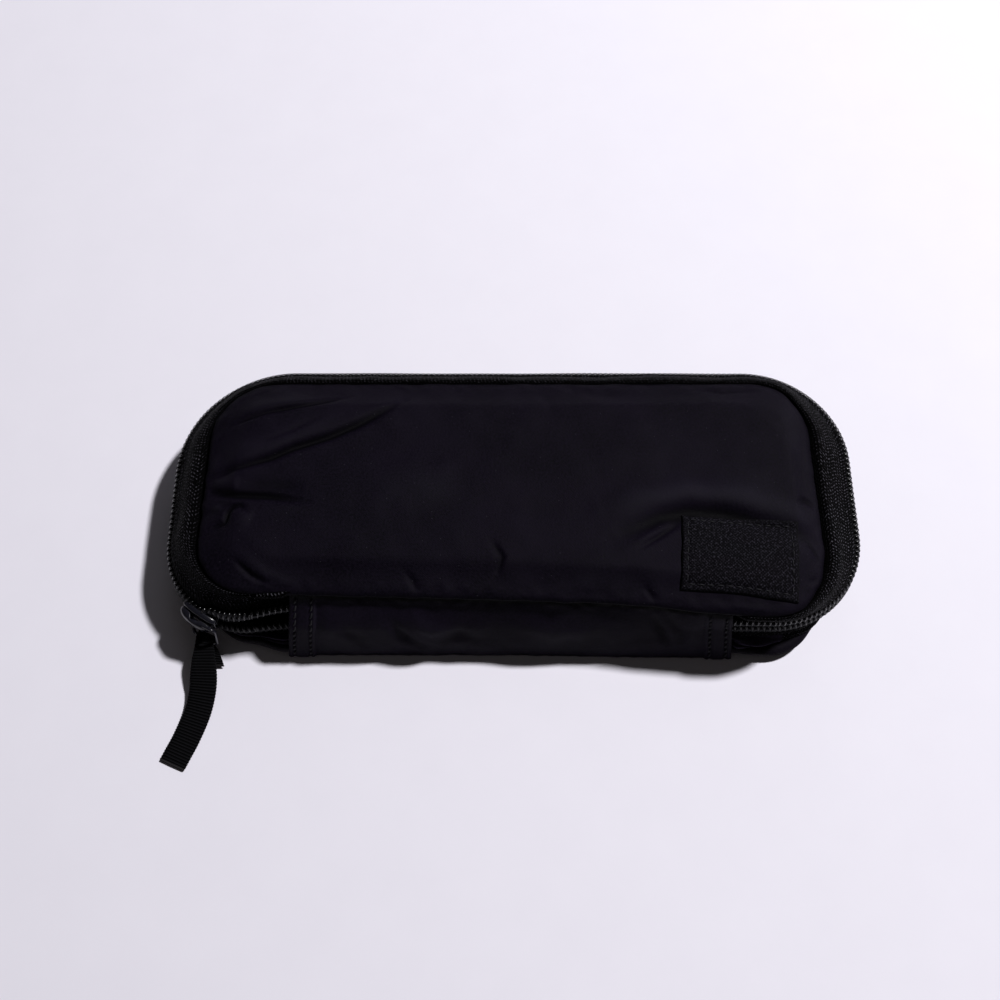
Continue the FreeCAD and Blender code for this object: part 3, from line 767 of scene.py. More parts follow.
def padded_panel(name, side, folds, sim):
    """Sewn padded panel as one closed form: a crowned face, a rolled edge, and a flat inner face.

    The lid's face (side 1) looks up; the base's (side -1) is pressed on the surface it lies on."""
    _, front, back, plane = HALVES[side]
    flatten = side < 0
    outline = (PANEL_X, front, back, PANEL_RADII)
    middle = (front + back) / 2

    def face_points(shape):
        x, y = panel_points(*shape, *outline)
        depth = inset_depth(x, y, *outline)
        return x, y, depth, 1.2 * smooth(0, 2.6, depth) if flatten else crown(depth)

    x, y, depth, rise = face_points(SIM_GRID)
    start = np.stack([x, y, plane(y) + side * rise], -1)
    moved = cloth(start, *sim) if sim else np.zeros_like(start)
    x, y, depth, rise = face_points(PANEL_GRID)
    moved = resample(moved, *PANEL_GRID) * smooth(0.5, 9.0, depth)[..., None]
    flat = np.stack([x, y, np.zeros_like(x)], -1)
    held = smooth(0.3, 4.0, depth)
    relief = layered_noise(flat, (0.30, 14.0, 3.1 * side), (0.14, 5.5, 7.7 * side))
    # small puckers that the seam's stitches pull into the cloth
    around = np.arctan2(y - middle, x * 0.45)
    pucker = noise_at(np.stack([x, y, around], -1), 3.0, 11.3) * np.exp(-((depth - 1.6) / 1.7) ** 2)
    relief = relief * held + 0.24 * pucker
    rim = np.exp(-(depth / 3.0) ** 2)
    away = unit(np.stack([x, (y - middle) * 2.2], -1))
    turned = np.stack([away[..., 0] * 20, away[..., 1] * 20, 0 * x], -1) + flat * 0.12
    wobble = 0.32 * noise_at(turned, 2.0, 4.0) * rim
    for points, width, height, skew in folds:
        relief = relief + crease(x, y, points, width, height, skew) * smooth(0.0, 2.2, depth)
    if flatten:
        relief = relief * 0.35 * (1 - smooth(3, 7, depth)) - 0.05
    top = np.stack([x, y, plane(y) + side * (rise + relief)], -1) + moved
    if flatten:
        top[..., 2] = np.maximum(top[..., 2], 0.03)
    else:
        top[..., :2] += away * wobble[..., None]
    rows, cols = x.shape
    loop = boundary_loop(rows, cols)
    border = top.reshape(-1, 3)[loop]
    forward = unit(np.roll(border, -1, 0) - np.roll(border, 1, 0))
    out = np.stack([forward[:, 1], -forward[:, 0], np.zeros(len(loop))], -1)
    rolls = PRESSED_ROLL if flatten else RAISED_ROLL
    verts = [top.reshape(-1, 3)]
    for off, drop in rolls:
        wave = np.ones((len(loop), 1))
        if flatten:
            at_front = 1 - smooth(-30, -24, border[:, 1])
            under_spine = smooth(-60, -54, border[:, 0]) * (1 - smooth(52, 58, border[:, 0])) * at_front
            full_corner = np.exp(-((border[:, 0] - 71) / 9) ** 2) * at_front
            wave = 1 + 0.35 * noise_at(border, 5.5, 3.0 + drop * 0.4)
            wave = (wave * (1 - 0.8 * under_spine) + 2.2 * full_corner)[:, None]
        verts.append(border + out * off * wave + np.array([0, 0, side * drop]))
    inner = np.stack([x, y, plane(y) - side * COVER_THICK], -1)
    shrink = 1 - 1.2 / PANEL_X
    inner[..., 0] *= shrink
    inner[..., 1] = (inner[..., 1] - middle) * shrink + middle
    verts.append(inner.reshape(-1, 3))
    count, ring = rows * cols, len(loop)
    faces = grid_faces(rows, cols)
    last = list(loop)
    for k in range(len(rolls)):
        first = count + k * ring
        now = [first + i for i in range(ring)]
        faces += bridge(last, now)
        last = now
    base = count + len(rolls) * ring
    faces += bridge(last, [base + i for i in loop])
    faces += grid_faces(rows, cols, base, flip=True)
    verts = np.concatenate(verts)
    wear_and_shade = np.zeros(len(verts))
    # ridges are a little lighter with wear; the bottoms of folds get painted shade
    wear_and_shade[:count] = (np.clip(relief, 0, 1) * 0.3 - np.clip(-relief - 0.2, 0, 1) * 0.9).ravel()
    # painted shade along the seam at the panel's border
    wear_and_shade[:count] -= (0.35 * np.exp(-(depth / 0.5) ** 2)).ravel()
    # painted shade on the rolled edge and the inner face
    wear_and_shade[count:base] = -0.5
    verts = warp(verts, side)
    obj = make_mesh(name, verts, faces, verts[:, :2], wear_and_shade)
    fix_normals(obj)
    return obj


lid_cover = padded_panel("lid_padded_cover", 1, LID_FOLDS, (9.0, 0.003, 1.6))
dress(lid_cover, SHELL)
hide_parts("lid_cover", "lid_foam_pad")
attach(lid_cover, "lid")

base_cover = padded_panel("base_padded_cover", -1, (), None)
dress(base_cover, BASE_SHELL_LIT)
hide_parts("base_cover", "base_foam_pad")
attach(base_cover, "base")


def inner_fabric(name, node, side, front_inset):
    """Lining with slack in it, lying over the foam."""
    body, front, back, plane = HALVES[side]
    half, _, deep, radii = inward((PANEL_X, front, back, PANEL_RADII), 1.2)
    outline = (half, front + front_inset, deep, radii)
    x, y = panel_points(60, 150, *outline)
    depth = inset_depth(x, y, *outline)
    flat = np.stack([x, y, np.zeros_like(x)], -1)
    slack = layered_noise(flat, (0.42, 17.0, 21.0 * side), (0.2, 6.0, 5.0 * side)) * smooth(5, 11, depth)
    slack = slack + crease(x, y, ((-50, -20), (-20, -6), (12, 2)), 2.5, 0.3, 0.5)
    slack = slack + crease(x, y, ((20, 14), (40, 4), (60, -10)), 2.2, 0.3, 0.5)
    face = np.stack([x, y, plane(y) - side * (3.15 + 0.3 + np.clip(slack, -0.25, 0.6))], -1)
    face = warp(face, side)
    obj = shell(name, face, -0.35 * side, uv=flat[..., :2], wear_and_shade=np.clip(slack, 0, 1))
    dress(obj, LINING)
    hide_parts(node)
    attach(obj, body)


inner_fabric("lid_inner_lining", "lid_lining", 1, 3.6)
inner_fabric("base_inner_lining", "base_lining", -1, 3.4)


# The binding's cross-section: how far in from its outer edge, and how far off the lining
BINDING_PROFILE = ((0.0, 0.15), (0.1, 0.75), (0.6, 1.05), (1.6, 1.12), (3.0, 1.05), (4.6, 1.12),
                   (5.7, 1.0), (6.2, 0.6), (6.3, 0.1))
BINDING_SEAM = 5  # the point of the cross-section that the stitches run along


def binding_ring(name, node, side, front_inset):
    """Folded binding tape along the inner seam, with a row of stitches."""
    body, front, back, plane = HALVES[side]
    half, _, deep, outer_radii = inward((PANEL_X, front, back, PANEL_RADII), 1.7)
    rows = []
    for inset, lift in BINDING_PROFILE:
        radii = tuple(max(r - inset, 1.2) for r in outer_radii)
        ring = closed_path(half - inset, front + front_inset + inset, deep - inset, radii)
        z = plane(ring[:, 1]) - side * (3.55 + lift)
        rows.append(np.column_stack([ring, z]))
    grid = np.array(rows)
    waves = noise_at(grid, 7.0, 31.0 + side)
    grid[..., 2] -= side * 0.12 * waves
    grid = warp(grid, side)
    count = grid.shape[1]
    uv_u = np.broadcast_to(lengths_along(grid[0])[None, :], grid.shape[:2])
    uv_v = np.broadcast_to(np.array(BINDING_PROFILE)[:, :1], grid.shape[:2])
    faces = grid_faces(len(rows), count, wrap=True)
    last = (len(rows) - 1) * count
    faces += [(i, last + i, last + (i + 1) % count, (i + 1) % count) for i in range(count)]
    verts = grid.reshape(-1, 3)
    obj = make_mesh(name, verts, faces, np.stack([uv_u, uv_v], -1).reshape(-1, 2), np.zeros(len(verts)))
    fix_normals(obj)
    dress(obj, BINDING)
    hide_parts(node)
    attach(obj, body)
    seam_line = np.concatenate([grid[BINDING_SEAM], grid[BINDING_SEAM][:1]])
    normal = np.tile([0, 0, -1.0 * side], (len(seam_line), 1))
    seam = tubes(name + "_stitches", stitches(seam_line, normal, 2.4, 0.7, 0.16))
    dress(seam, THREAD)
    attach(seam, body)


binding_ring("lid_binding", "lid_seam_binding", 1, 4.2)
binding_ring("base_binding", "base_seam_binding", -1, 4.0)


# ================= the zipper's course =================

COIL_LINE = (COIL_X, COIL_FRONT, COIL_BACK, COIL_RADII)


class Track:
    """The chain's outermost line, as a place, tangent and outward direction at any distance along it."""

    def __init__(self):
        self.points = zip_path(*COIL_LINE, density=4)
        self.distance = lengths_along(self.points)
        self.length = self.distance[-1]
        tangent = unit(np.gradient(self.points, axis=0))
        self.outward = np.stack([tangent[:, 1], -tangent[:, 0]], -1)

    def at(self, s):
        return interpolate(s, self.distance, self.points)

    def out(self, s):
        return unit(interpolate(s, self.distance, self.outward))

    def slider(self):
        """Distance at which the slider sits."""
        theta = math.radians(SLIDER_ANGLE)
        target = CORNER[:2] - COIL_RADII[0] * np.array([math.cos(theta), math.sin(theta)])
        return self.distance[np.argmin(np.linalg.norm(self.points - target, axis=1))]


TRACK = Track()
SLIDER_AT = TRACK.slider()
# how far the parted lid and base coils fall inwards, for each millimetre of their parting
FALL_IN = {1: 2.1, -1: 0.9}
LID_COIL_IN = 0.35  # the upper half of the chain sits a little inside the lower one


def set_back(s):
    """How far the chain lies inside its outline at the front, where the spine pulls it in."""
    return 1.1 * (1 - smooth(8, 45, s)) + 0.9 * smooth(TRACK.length - 24, TRACK.length - 6, s)


def parting(s):
    """How far each coil has moved from the chain's middle ahead of the slider."""
    return 1.2 * smooth(SLIDER_AT - 1.5, SLIDER_AT + 3.5, s) + 1.1 * smooth(SLIDER_AT + 5, TRACK.length, s)


# ================= zipper tapes =================

def tape_edge(side, angle):
    """Numbers of the tape's outline at an angle from the chain (0) to the panel's edge (90)."""
    share, climb = math.cos(math.radians(angle)), math.sin(math.radians(angle))
    inset = 1.45 + 0.65 * float(smooth(20, 34, angle))
    _, front, back, _ = HALVES[side]
    z_front, z_back = LID_EDGE_Z if side > 0 else (BASE_EDGE_Z, BASE_EDGE_Z)
    chain = inward(COIL_LINE, inset)

    def mix(a, b):
        return b + (a - b) * share

    radii = tuple(mix(a, b) for a, b in zip(chain[3], PANEL_RADII))
    return (mix(chain[0], PANEL_X), mix(chain[1], front), mix(chain[2], back), radii,
            CHAIN_Z + (z_front - CHAIN_Z) * climb, CHAIN_Z + (z_back - CHAIN_Z) * climb)


def chain_shift(s, side):
    """How far a half of the chain lies inside the track at distance s."""
    return set_back(s) + FALL_IN[side] * np.maximum(parting(s) - 0.6, 0)


# Rows of the tape behind its coil: distance from the chain's middle, and from the track
BEHIND_COIL = {1: ((1.0, 2.9), (2.0, 2.85), (2.9, 2.5), (3.15, 1.95)),
               -1: ((1.0, 2.9), (2.0, 2.85), (2.9, 2.4), (3.1, 1.3))}
TAPE_ANGLES = np.concatenate([[16.0, 18.5, 22.0], np.linspace(27, 84, 12), [88.5]])
ALL_ANGLES = np.concatenate([[0.0, 4.0, 8.0, 12.0], TAPE_ANGLES, [90.0]])


def tape_row(side, outline, follow):
    """One row of the tape, moved in with the chain as far as follow says, and the distances along it."""
    path = zip_path(*outline)
    s = lengths_along(path)
    s = s * TRACK.length / s[-1]
    return path - TRACK.out(s) * (chain_shift(s, side) * follow)[:, None], s


def tape_grid(side):
    """Tape from behind the coil, round its edge, over the side of the case and in under the panel."""
    rows = []
    for w, inset in BEHIND_COIL[side]:
        path, s = tape_row(side, inward(COIL_LINE, inset), 1.0)
        rows.append(np.column_stack([path, CHAIN_Z + side * (w + parting(s))]))
    for angle in TAPE_ANGLES:
        x, front, back, radii, z_front, z_back = tape_edge(side, angle)
        follow = 1 - smooth(16, 80, angle)
        path, s = tape_row(side, (x, front, back, radii), follow)
        z = plane_z(path[:, 1], front, back, z_front, z_back)
        steepness = 3.35 * math.sin(math.radians(angle)) / math.sin(math.radians(16))
        lift = np.maximum(steepness - np.abs(z - CHAIN_Z), 0)
        groove = 2.1 * smooth(74, 88, angle)
        z = z + side * (lift * (1 - smooth(16, 30, angle)) + parting(s) * follow - groove)
        rows.append(np.column_stack([path, z]))
    tucked_in = rows[-1].copy()
    tucked_in[:, :2] -= TRACK.out(s) * 2.2
    rows.append(tucked_in)
    grid = np.array(rows)
    out = grid_normals(grid)
    if (out[:, :, :2] * grid[:, :, :2]).sum() < 0:
        out = -out
    share = (ALL_ANGLES / 90)[:, None]
    loose = np.sin(math.pi * share)
    swell = 0.55 * noise_at(grid, 16.0, 41.0 * side) * loose + 0.22 * noise_at(grid, 6.0, 3.0 * side) * loose
    # the seam gathers the tape a little
    swell = swell + 0.28 * noise_at(grid, 3.4, 13.0 * side) * smooth(0.75, 1.0, share)
    # creases of the slack tape at the front corners
    front_part = (1 - smooth(-33, -26, grid[..., 1]))
    if side < 0:
        folds = np.sin((grid[..., 2] - 0.09 * np.abs(grid[..., 0])) * 1.7) * 0.5
        swell = swell + (folds + 1.6) * front_part * loose
    along = lengths_along(grid[0])
    tucked = 1 - smooth(3.0, 7.0, np.minimum(along, along[-1] - along))
    grid = grid + out * swell[..., None]
    grid[..., 1] += 1.6 * tucked
    return warp(grid, side), out


def split_columns(points, reach=END_REACH):
    """Column numbers where the front ends of a band begin: right end, left end."""
    distance = lengths_along(points)
    right = int(np.searchsorted(distance, reach))
    left = int(np.searchsorted(distance, distance[-1] - reach))
    return right, left


def ride_or_bend(obj, part, body):
    """The middle of a band rides on its body; its front ends keep their place, baked into the mesh."""
    if part == "main":
        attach(obj, body)
        return
    if body == "lid":
        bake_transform(obj)
    else:
        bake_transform(obj)


TAPE_THICK = 0.7


def make_tape(side):
    body = HALVES[side][0]
    grid, out = tape_grid(side)
    uv = grid_uv(grid)
    # painted shade: darker where the tape dives beside the panel and beside the coil
    shade = smooth(70, 82, ALL_ANGLES) + 0.8 * (1 - smooth(17, 28, ALL_ANGLES))
    shade = shade[:, None] * np.ones((1, grid.shape[1]))
    right, left = split_columns(grid[0])
    parts = (("right", slice(0, right + 1)), ("main", slice(right, left + 1)), ("left", slice(left, None)))
    for part, columns in parts:
        strips = [values[:, columns] for values in (uv, shade, out)]
        piece = shell(f"{body}_tape_{part}", grid[:, columns], TAPE_THICK, *strips)
        dress(piece, TAPE)
        if part == "main":
            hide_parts(f"{body}_zipper_tape")
        if part == "left" and side > 0:
            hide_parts("lid_tape_slider_end")
        ride_or_bend(piece, part, body)
    return grid, out


make_tape(1)
base_tape, base_tape_out = make_tape(-1)


GUSSET_GRID = (60, 120)


def make_gusset(part):
    """Slack cover cloth bunched in folds under the base's coil, between the spine and the corner."""
    reach = 20 if part == "right" else 26
    right, left = split_columns(base_tape[0], reach)
    columns = slice(0, right) if part == "right" else slice(left, None)
    under_coil = slice(9, -1)
    grid = resample(base_tape[under_coil, columns], *GUSSET_GRID)
    out = unit(resample(base_tape_out[under_coil, columns], *GUSSET_GRID))
    share = np.linspace(0, 1, GUSSET_GRID[0])[:, None]
    run = np.linspace(0, 1, GUSSET_GRID[1])[None, :]
    fan = run if part == "left" else 1 - run
    folds = np.abs(np.sin(math.pi * (share * (1.2 + 2.3 * fan) + 0.15 * np.sin(5 * run)))) ** 0.7
    ends = smooth(0.0, 0.35, fan) * smooth(0, 0.10, share) * (1 - smooth(0.93, 1.0, share))
    lift = 0.15 + (0.25 + 0.95 * folds + 0.15 * noise_at(grid, 3.0, 8.0)) * ends
    grid = grid + out * lift[..., None]
    grid[..., 2] = np.maximum(grid[..., 2], 0.3)
    wear_and_shade = np.clip(folds - 0.6, 0, 1) * ends * 0.6
    piece = shell(f"base_corner_folds_{part}", grid, 0.35, grid_uv(grid), wear_and_shade, outward=out)
    dress(piece, FOLD_SHELL_LIT)
    ride_or_bend(piece, part, "base")


make_gusset("right")
make_gusset("left")


# ================= zipper coils =================

def coil_place(s, side, w, n):
    """Point at distance s: w away from the chain's middle towards one half, n in from the outermost line."""
    flat = TRACK.at(s)
    out = TRACK.out(s)
    lean = -chain_shift(s, side) - LID_COIL_IN * (side > 0)
    sway = 0.18 * np.sin(s / 11.0) + 0.10 * np.sin(s / 4.3 + 1.0)
    xy = flat - out * (np.asarray(n) - lean)[..., None]
    z = CHAIN_Z + side * (np.asarray(w) + parting(s)) + sway * 0.6
    return np.concatenate([xy, z[..., None]], -1)


def coil_turns(side, s_from, s_to):
    """One coil between two distances: a flattened helix whose heads reach past the chain's middle."""
    per_turn = 14
    turns = (s_to - s_from) / PITCH
    phase = np.linspace(0, 2 * math.pi * turns, int(per_turn * turns) + 1)
    s = s_from + PITCH * phase / (2 * math.pi) + (PITCH / 2 if side < 0 else 0.0)
    w = 1.42 - 1.62 * np.cos(phase)
    n = 1.15 - 0.86 * np.sin(phase)
    head = np.clip(np.cos(phase), 0, 1) ** 2
    s = np.clip(s + 0.10 * np.sin(phase), 0, TRACK.length)
    radius = 0.35 + 0.06 * head
    return tube(coil_place(s, side, w, n), radius, 7, up=np.array([0.31, 0.22, 0.92]))


def coil_core(side, s_from, s_to):
    """The cord inside the coil."""
    s = np.linspace(s_from, s_to, int((s_to - s_from) / 0.8))
    inset = np.full(s.shape, 1.08 if side > 0 else 1.0)
    return tube(coil_place(s, side, np.full(s.shape, 1.5), inset), 1.0, 10)


def coil_sewing(side, s_from, s_to):
    """Two rows of thread that cross every turn."""
    parts = []
    for w in (1.05, 2.25):
        s = np.linspace(s_from, s_to, int((s_to - s_from) / 0.25))
        dip = 0.5 - 0.5 * np.cos(2 * math.pi * (s - s_from) / PITCH)
        parts.append(tube(coil_place(s, side, np.full(s.shape, w), 0.08 + 0.34 * dip), 0.14, 5))
    return parts


def make_coil(side):
    body = HALVES[side][0]
    spans = (("right", 0.4, END_REACH), ("main", END_REACH, TRACK.length - END_REACH),
             ("left", TRACK.length - END_REACH, TRACK.length - 1.0))
    stands_for = {("lid", "main"): ["lid_zipper_coil"], ("lid", "left"): ["lid_coil_slider_end"],
                  ("lid", "right"): ["lid_coil_right_end"], ("base", "main"): ["base_zipper_coil"],
                  ("base", "left"): ["base_coil_slider_end"]}
    for part, s_from, s_to in spans:
        piece = tubes(f"{body}_coil_{part}", [coil_turns(side, s_from, s_to)])
        dress(piece, COIL if side > 0 else LOWER_COIL_SHADED)
        if (body, part) in stands_for:
            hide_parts(*stands_for[(body, part)])
        ride_or_bend(piece, part, body)
        threads = [coil_core(side, s_from, s_to)] + coil_sewing(side, s_from, s_to)
        sewing = tubes(f"{body}_coil_sewing_{part}", threads)
        dress(sewing, THREAD)
        ride_or_bend(sewing, part, body)


make_coil(1)
make_coil(-1)


# ================= spine =================

SPINE_BOTTOM = (spine_lo[1] - 0.7, 0.35)
SPINE_TOP = (LID_FRONT + 0.35, 20.8)
SPINE_FOLDS = (
    (((-33, 16), (-28, 9), (-23, 4)), 1.7, -0.5, 0.8),
    (((-27, 17), (-21, 12), (-16, 14)), 2.2, 0.4, 0.0),
    (((-20, 6), (-14, 10), (-8, 7)), 2.2, -0.35, 0.5),
    (((34, 18), (37, 12), (39.5, 6)), 1.3, -0.55, 0.8),
    (((38, 18), (42, 12), (43, 7)), 1.4, -0.4, 0.8),
    (((2, 15), (10, 11), (20, 13)), 2.6, 0.3, 0.0),
    (((-45, 14), (-40, 9), (-38, 4)), 2.0, -0.3, 0.6),
)


SPINE_GRID = (72, 300)
SPINE_OUT = np.array([0, -0.963, 0.27])
SPINE_SEAMS = (1.6, 5.4)  # rows of stitches, measured in from each end


def spine_face(rows, cols):
    """Outer face of the spine, wider at the bottom than at the top."""
    t = np.linspace(0, 1, rows)[:, None]
    x = np.linspace(-1, 1, cols)[None, :] * (SPINE_HALF - 0.3 + 2.7 * (1 - t)) + SPINE_SHIFT
    x, t = np.broadcast_arrays(x, t)
    y = SPINE_BOTTOM[0] + (SPINE_TOP[0] - SPINE_BOTTOM[0]) * t
    z = SPINE_BOTTOM[1] + (SPINE_TOP[1] - SPINE_BOTTOM[1]) * t
    bulge = 0.75 * np.sin(math.pi * t) ** 0.8 + 0.7 * (1 - t) * smooth(-10, 50, x)
    return np.stack([x, y - bulge, z], -1), t


def make_spine():
    start, _ = spine_face(12, 60)
    moved = cloth(start, 5.0, 0.003, 0.7)
    grid, t = spine_face(*SPINE_GRID)
    moved = resample(moved, *SPINE_GRID)
    x, z = grid[..., 0], grid[..., 2]
    free = np.sin(math.pi * t) ** 0.5
    relief = 0.42 * noise_at(grid, 11.0, 51.0) * free + 0.20 * noise_at(grid, 4.8, 17.0) * free
    for points, width, height, skew in SPINE_FOLDS:
        relief = relief + 1.6 * crease(x, z, points, width, height, skew) * free
    near_seams = np.exp(-((t - 0.04) / 0.05) ** 2) + np.exp(-((t - 0.95) / 0.05) ** 2)
    relief = relief + 0.35 * (noise_at(grid, 2.6, 71.0) * near_seams)
    rows, cols = SPINE_GRID
    inset = (1 - np.abs(np.linspace(-1, 1, cols)))[None, :] * np.ones((rows, 1)) * SPINE_HALF
    hem = 0.55 * (1 - smooth(6.2, 7.0, inset))
    calm = smooth(6.0, 10.0, inset)
    groove = sum(0.35 * np.exp(-((inset - k) / 0.45) ** 2) for k in SPINE_SEAMS)
    edge = 0.35 * np.exp(-(inset / 0.35) ** 2)
    lift = relief * (0.25 + 0.75 * calm) + hem - groove - edge
    grid = grid + moved * calm[..., None] + SPINE_OUT * lift[..., None]
    grid[..., 2] = np.maximum(grid[..., 2], 0.12)
    # ridges a little lighter with wear; painted shade in the folds' hollows and along the top edge under the
    # lid's seam
    wear_and_shade = np.clip(relief, -1.2, 1) * 0.45 - 1.3 * smooth(0.90, 0.97, t)
    # lighter along the hem's edge
    wear_and_shade = wear_and_shade + 0.35 * np.exp(-((inset - 6.4) / 0.3) ** 2)
    uv = np.stack([grid[..., 0], grid[..., 2]], -1)
    obj = shell("spine_padded_cover", warp_lid(grid), 1.6, uv, wear_and_shade, outward=SPINE_OUT)
    dress(obj, SPINE_SHELL_LIT)
    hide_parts("spine_cover", "spine_foam")
    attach(obj, "spine")
    parts = []
    normal = np.tile(SPINE_OUT, (40, 1))
    for side in (-1, 1):
        for k in SPINE_SEAMS:
            column = int(round((1 + side * (1 - k / SPINE_HALF)) / 2 * (cols - 1)))
            path = catmull(warp_lid(grid[4:-4, column] + SPINE_OUT * 0.12), 40)
            parts += stitches(path, normal, 1.55, 0.55, 0.24, sink=0.12, slant=0.5,
                              across=np.array([1.0, 0, 0]))
    sewn = tubes("spine_end_stitches", parts)
    dress(sewn, THREAD)
    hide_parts("spine_end_stitching")
    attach(sewn, "spine")
    inner, t = spine_face(24, 120)
    inner = inner - SPINE_OUT * 2.3
    ripple = 0.35 * noise_at(inner, 9.0, 61.0) * np.sin(math.pi * t)
    inner = inner + np.array([0, 1.0, 0]) * np.clip(ripple, 0, 0.35)[..., None]
    inner[..., 2] = np.clip(inner[..., 2], 2.4, 20.3)
    lining = shell("spine_inner_lining", warp_lid(inner), 0.4, np.stack([inner[..., 0], inner[..., 2]], -1),
                   np.clip(ripple, 0, 1), outward=np.array([0, -1.0, 0]))
    dress(lining, LINING)
    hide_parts("spine_lining")
    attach(lining, "spine")


make_spine()


def seam_roll(name, half, y, z, radius):
    """Rolled seam allowance between the spine and a panel."""
    x = np.linspace(-half, half, 160)
    path = np.column_stack([x, np.full(x.shape, y), np.full(x.shape, z)])
    path[:, 2] += 0.12 * noise_at(path, 5.0, 81.0)
    path = warp_lid(path)
    verts, faces = tube(path, radius * (1 + 0.12 * noise_at(path, 2.2, 5.0)), 10)
    length = lengths_along(path)
    uv = np.column_stack([np.repeat(length, 10), np.tile(np.linspace(0, 4, 10), len(path))])
    obj = make_mesh(name, verts, faces, uv, np.zeros(len(verts)))
    fix_normals(obj)
    dress(obj, BINDING)
    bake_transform(obj)


seam_roll("lid_spine_seam", SPINE_HALF - 0.5, LID_FRONT + 1.3, 20.6,
          0.7)
seam_roll("base_spine_seam", SPINE_HALF + 2.2, BASE_FRONT + 0.8, 2.1,
          0.6)


# ================= label =================

LABEL_WIDE, LABEL_DEEP = 29.4, 20.0
LABEL_TURN = math.radians(-4.0)
LABEL_SEAM = 1.7  # the stitches run this far in from the label's edge


def make_label():
    """Woven label sewn on the lid: it follows the cover's folds, with turned edges and a row of stitches."""
    tree = BVHTree.FromObject(lid_cover, bpy.context.evaluated_depsgraph_get())
    centre = (label_lo[:2] + label_hi[:2]) / 2 + np.array([-0.5, -1.2])
    rows, cols = 64, 92
    half_wide, half_deep = LABEL_WIDE / 2, LABEL_DEEP / 2
    u, v = np.meshgrid(np.linspace(-half_wide, half_wide, cols), np.linspace(-half_deep, half_deep, rows))
    u = u + 0.10 * np.sin(v * 0.9)
    x = centre[0] + u * math.cos(LABEL_TURN) - v * math.sin(LABEL_TURN)
    y = centre[1] + u * math.sin(LABEL_TURN) + v * math.cos(LABEL_TURN)
    z = np.zeros_like(x)
    for index in np.ndindex(z.shape):
        hit = tree.ray_cast(Vector((x[index] * MM, y[index] * MM, 0.1)), Vector((0, 0, -1)))[0]
        z[index] = hit.z / MM
    for _ in range(10):
        z[1:-1, 1:-1] = (z[1:-1, 1:-1] * 2 + z[:-2, 1:-1] + z[2:, 1:-1] + z[1:-1, :-2] + z[1:-1, 2:]) / 6
    inset = np.minimum(half_wide - np.abs(u), half_deep - np.abs(v))
    rim = smooth(0.0, 0.5, inset)
    groove = 0.22 * np.exp(-((inset - LABEL_SEAM) / 0.45) ** 2)
    puff = 0.16 * noise_at(np.stack([x, y, z * 0], -1), 3.5, 91.0)
    y = y - 0.9 * smooth(-4, 14, u) * (1 - smooth(-9, 2, v))
    face = np.stack([x, y, z + 0.12 + 0.48 * rim - groove + puff * rim], -1)
    # painted shade along the label's edge
    wear_and_shade = np.exp(-(inset / 0.4) ** 2) * 0.8
    obj = shell("label", face, 0.5, np.stack([u, v], -1), wear_and_shade, outward=np.array([0, 0, 1.0]))
    dress(obj, LABEL)
    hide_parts("label_patch")
    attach(obj, "lid")
    j0, j1, i0, i1 = [int(round(share * (count - 1)))
                      for size, count in ((LABEL_DEEP, rows), (LABEL_WIDE, cols))
                      for share in (LABEL_SEAM / size, 1 - LABEL_SEAM / size)]
    parts = []
    for run in (face[j0, i0:i1], face[j0:j1, i1], face[j1, i0:i1][::-1], face[j0:j1, i0][::-1]):
        parts += stitches(run, np.tile([0, 0, 1.0], (len(run), 1)), 1.7, 0.65, 0.17, sink=0.08)
    sewn = tubes("label_stitches", parts)
    dress(sewn, THREAD)
    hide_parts("label_stitching")
    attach(sewn, "lid")


make_label()


# ================= slider =================

CHAIN_R = COIL_RADII[0] - COIL_THICK / 2
# Distances from the corner's axis
PLATE_R = 22.9  # the outer plate's rim
INNER_PLATE_R = 18.35
CAP_R = 24.4
SPRING_R = 24.75
LINK_R = 25.75


def slider_point(along, up, radius):
    """Point on the slider: along the chain, up, and at a distance from the corner's axis."""
    theta = np.radians(SLIDER_ANGLE) + np.asarray(along) / CHAIN_R
    x = CORNER[0] - np.cos(theta) * radius
    y = CORNER[1] - np.sin(theta) * radius
    return np.stack(np.broadcast_arrays(x, y, CHAIN_Z + np.asarray(up)), -1)


def slider_half_high(along):
    """Side view of the plate: an oval that is a little fuller at the nose."""
    oval = np.sqrt(np.clip(1 - (np.abs(along) / 5.6) ** 2.2, 0.02, 1))
    return (3.0 + 0.35 * smooth(-2.8, 2.6, along)) * (0.35 + 0.65 * oval)


def subdivide(obj, levels):
    modifier = obj.modifiers.new("smooth", "SUBSURF")
    modifier.levels = modifier.render_levels = levels
    evaluated = obj.evaluated_get(bpy.context.evaluated_depsgraph_get())
    mesh = bpy.data.meshes.new_from_object(evaluated)
    obj.modifiers.clear()
    obj.data = mesh
    mesh.polygons.foreach_set("use_smooth", [True] * len(mesh.polygons))


def paint_metal(obj, levels):
    subdivide(obj, levels)
    dress(obj, PAINT)


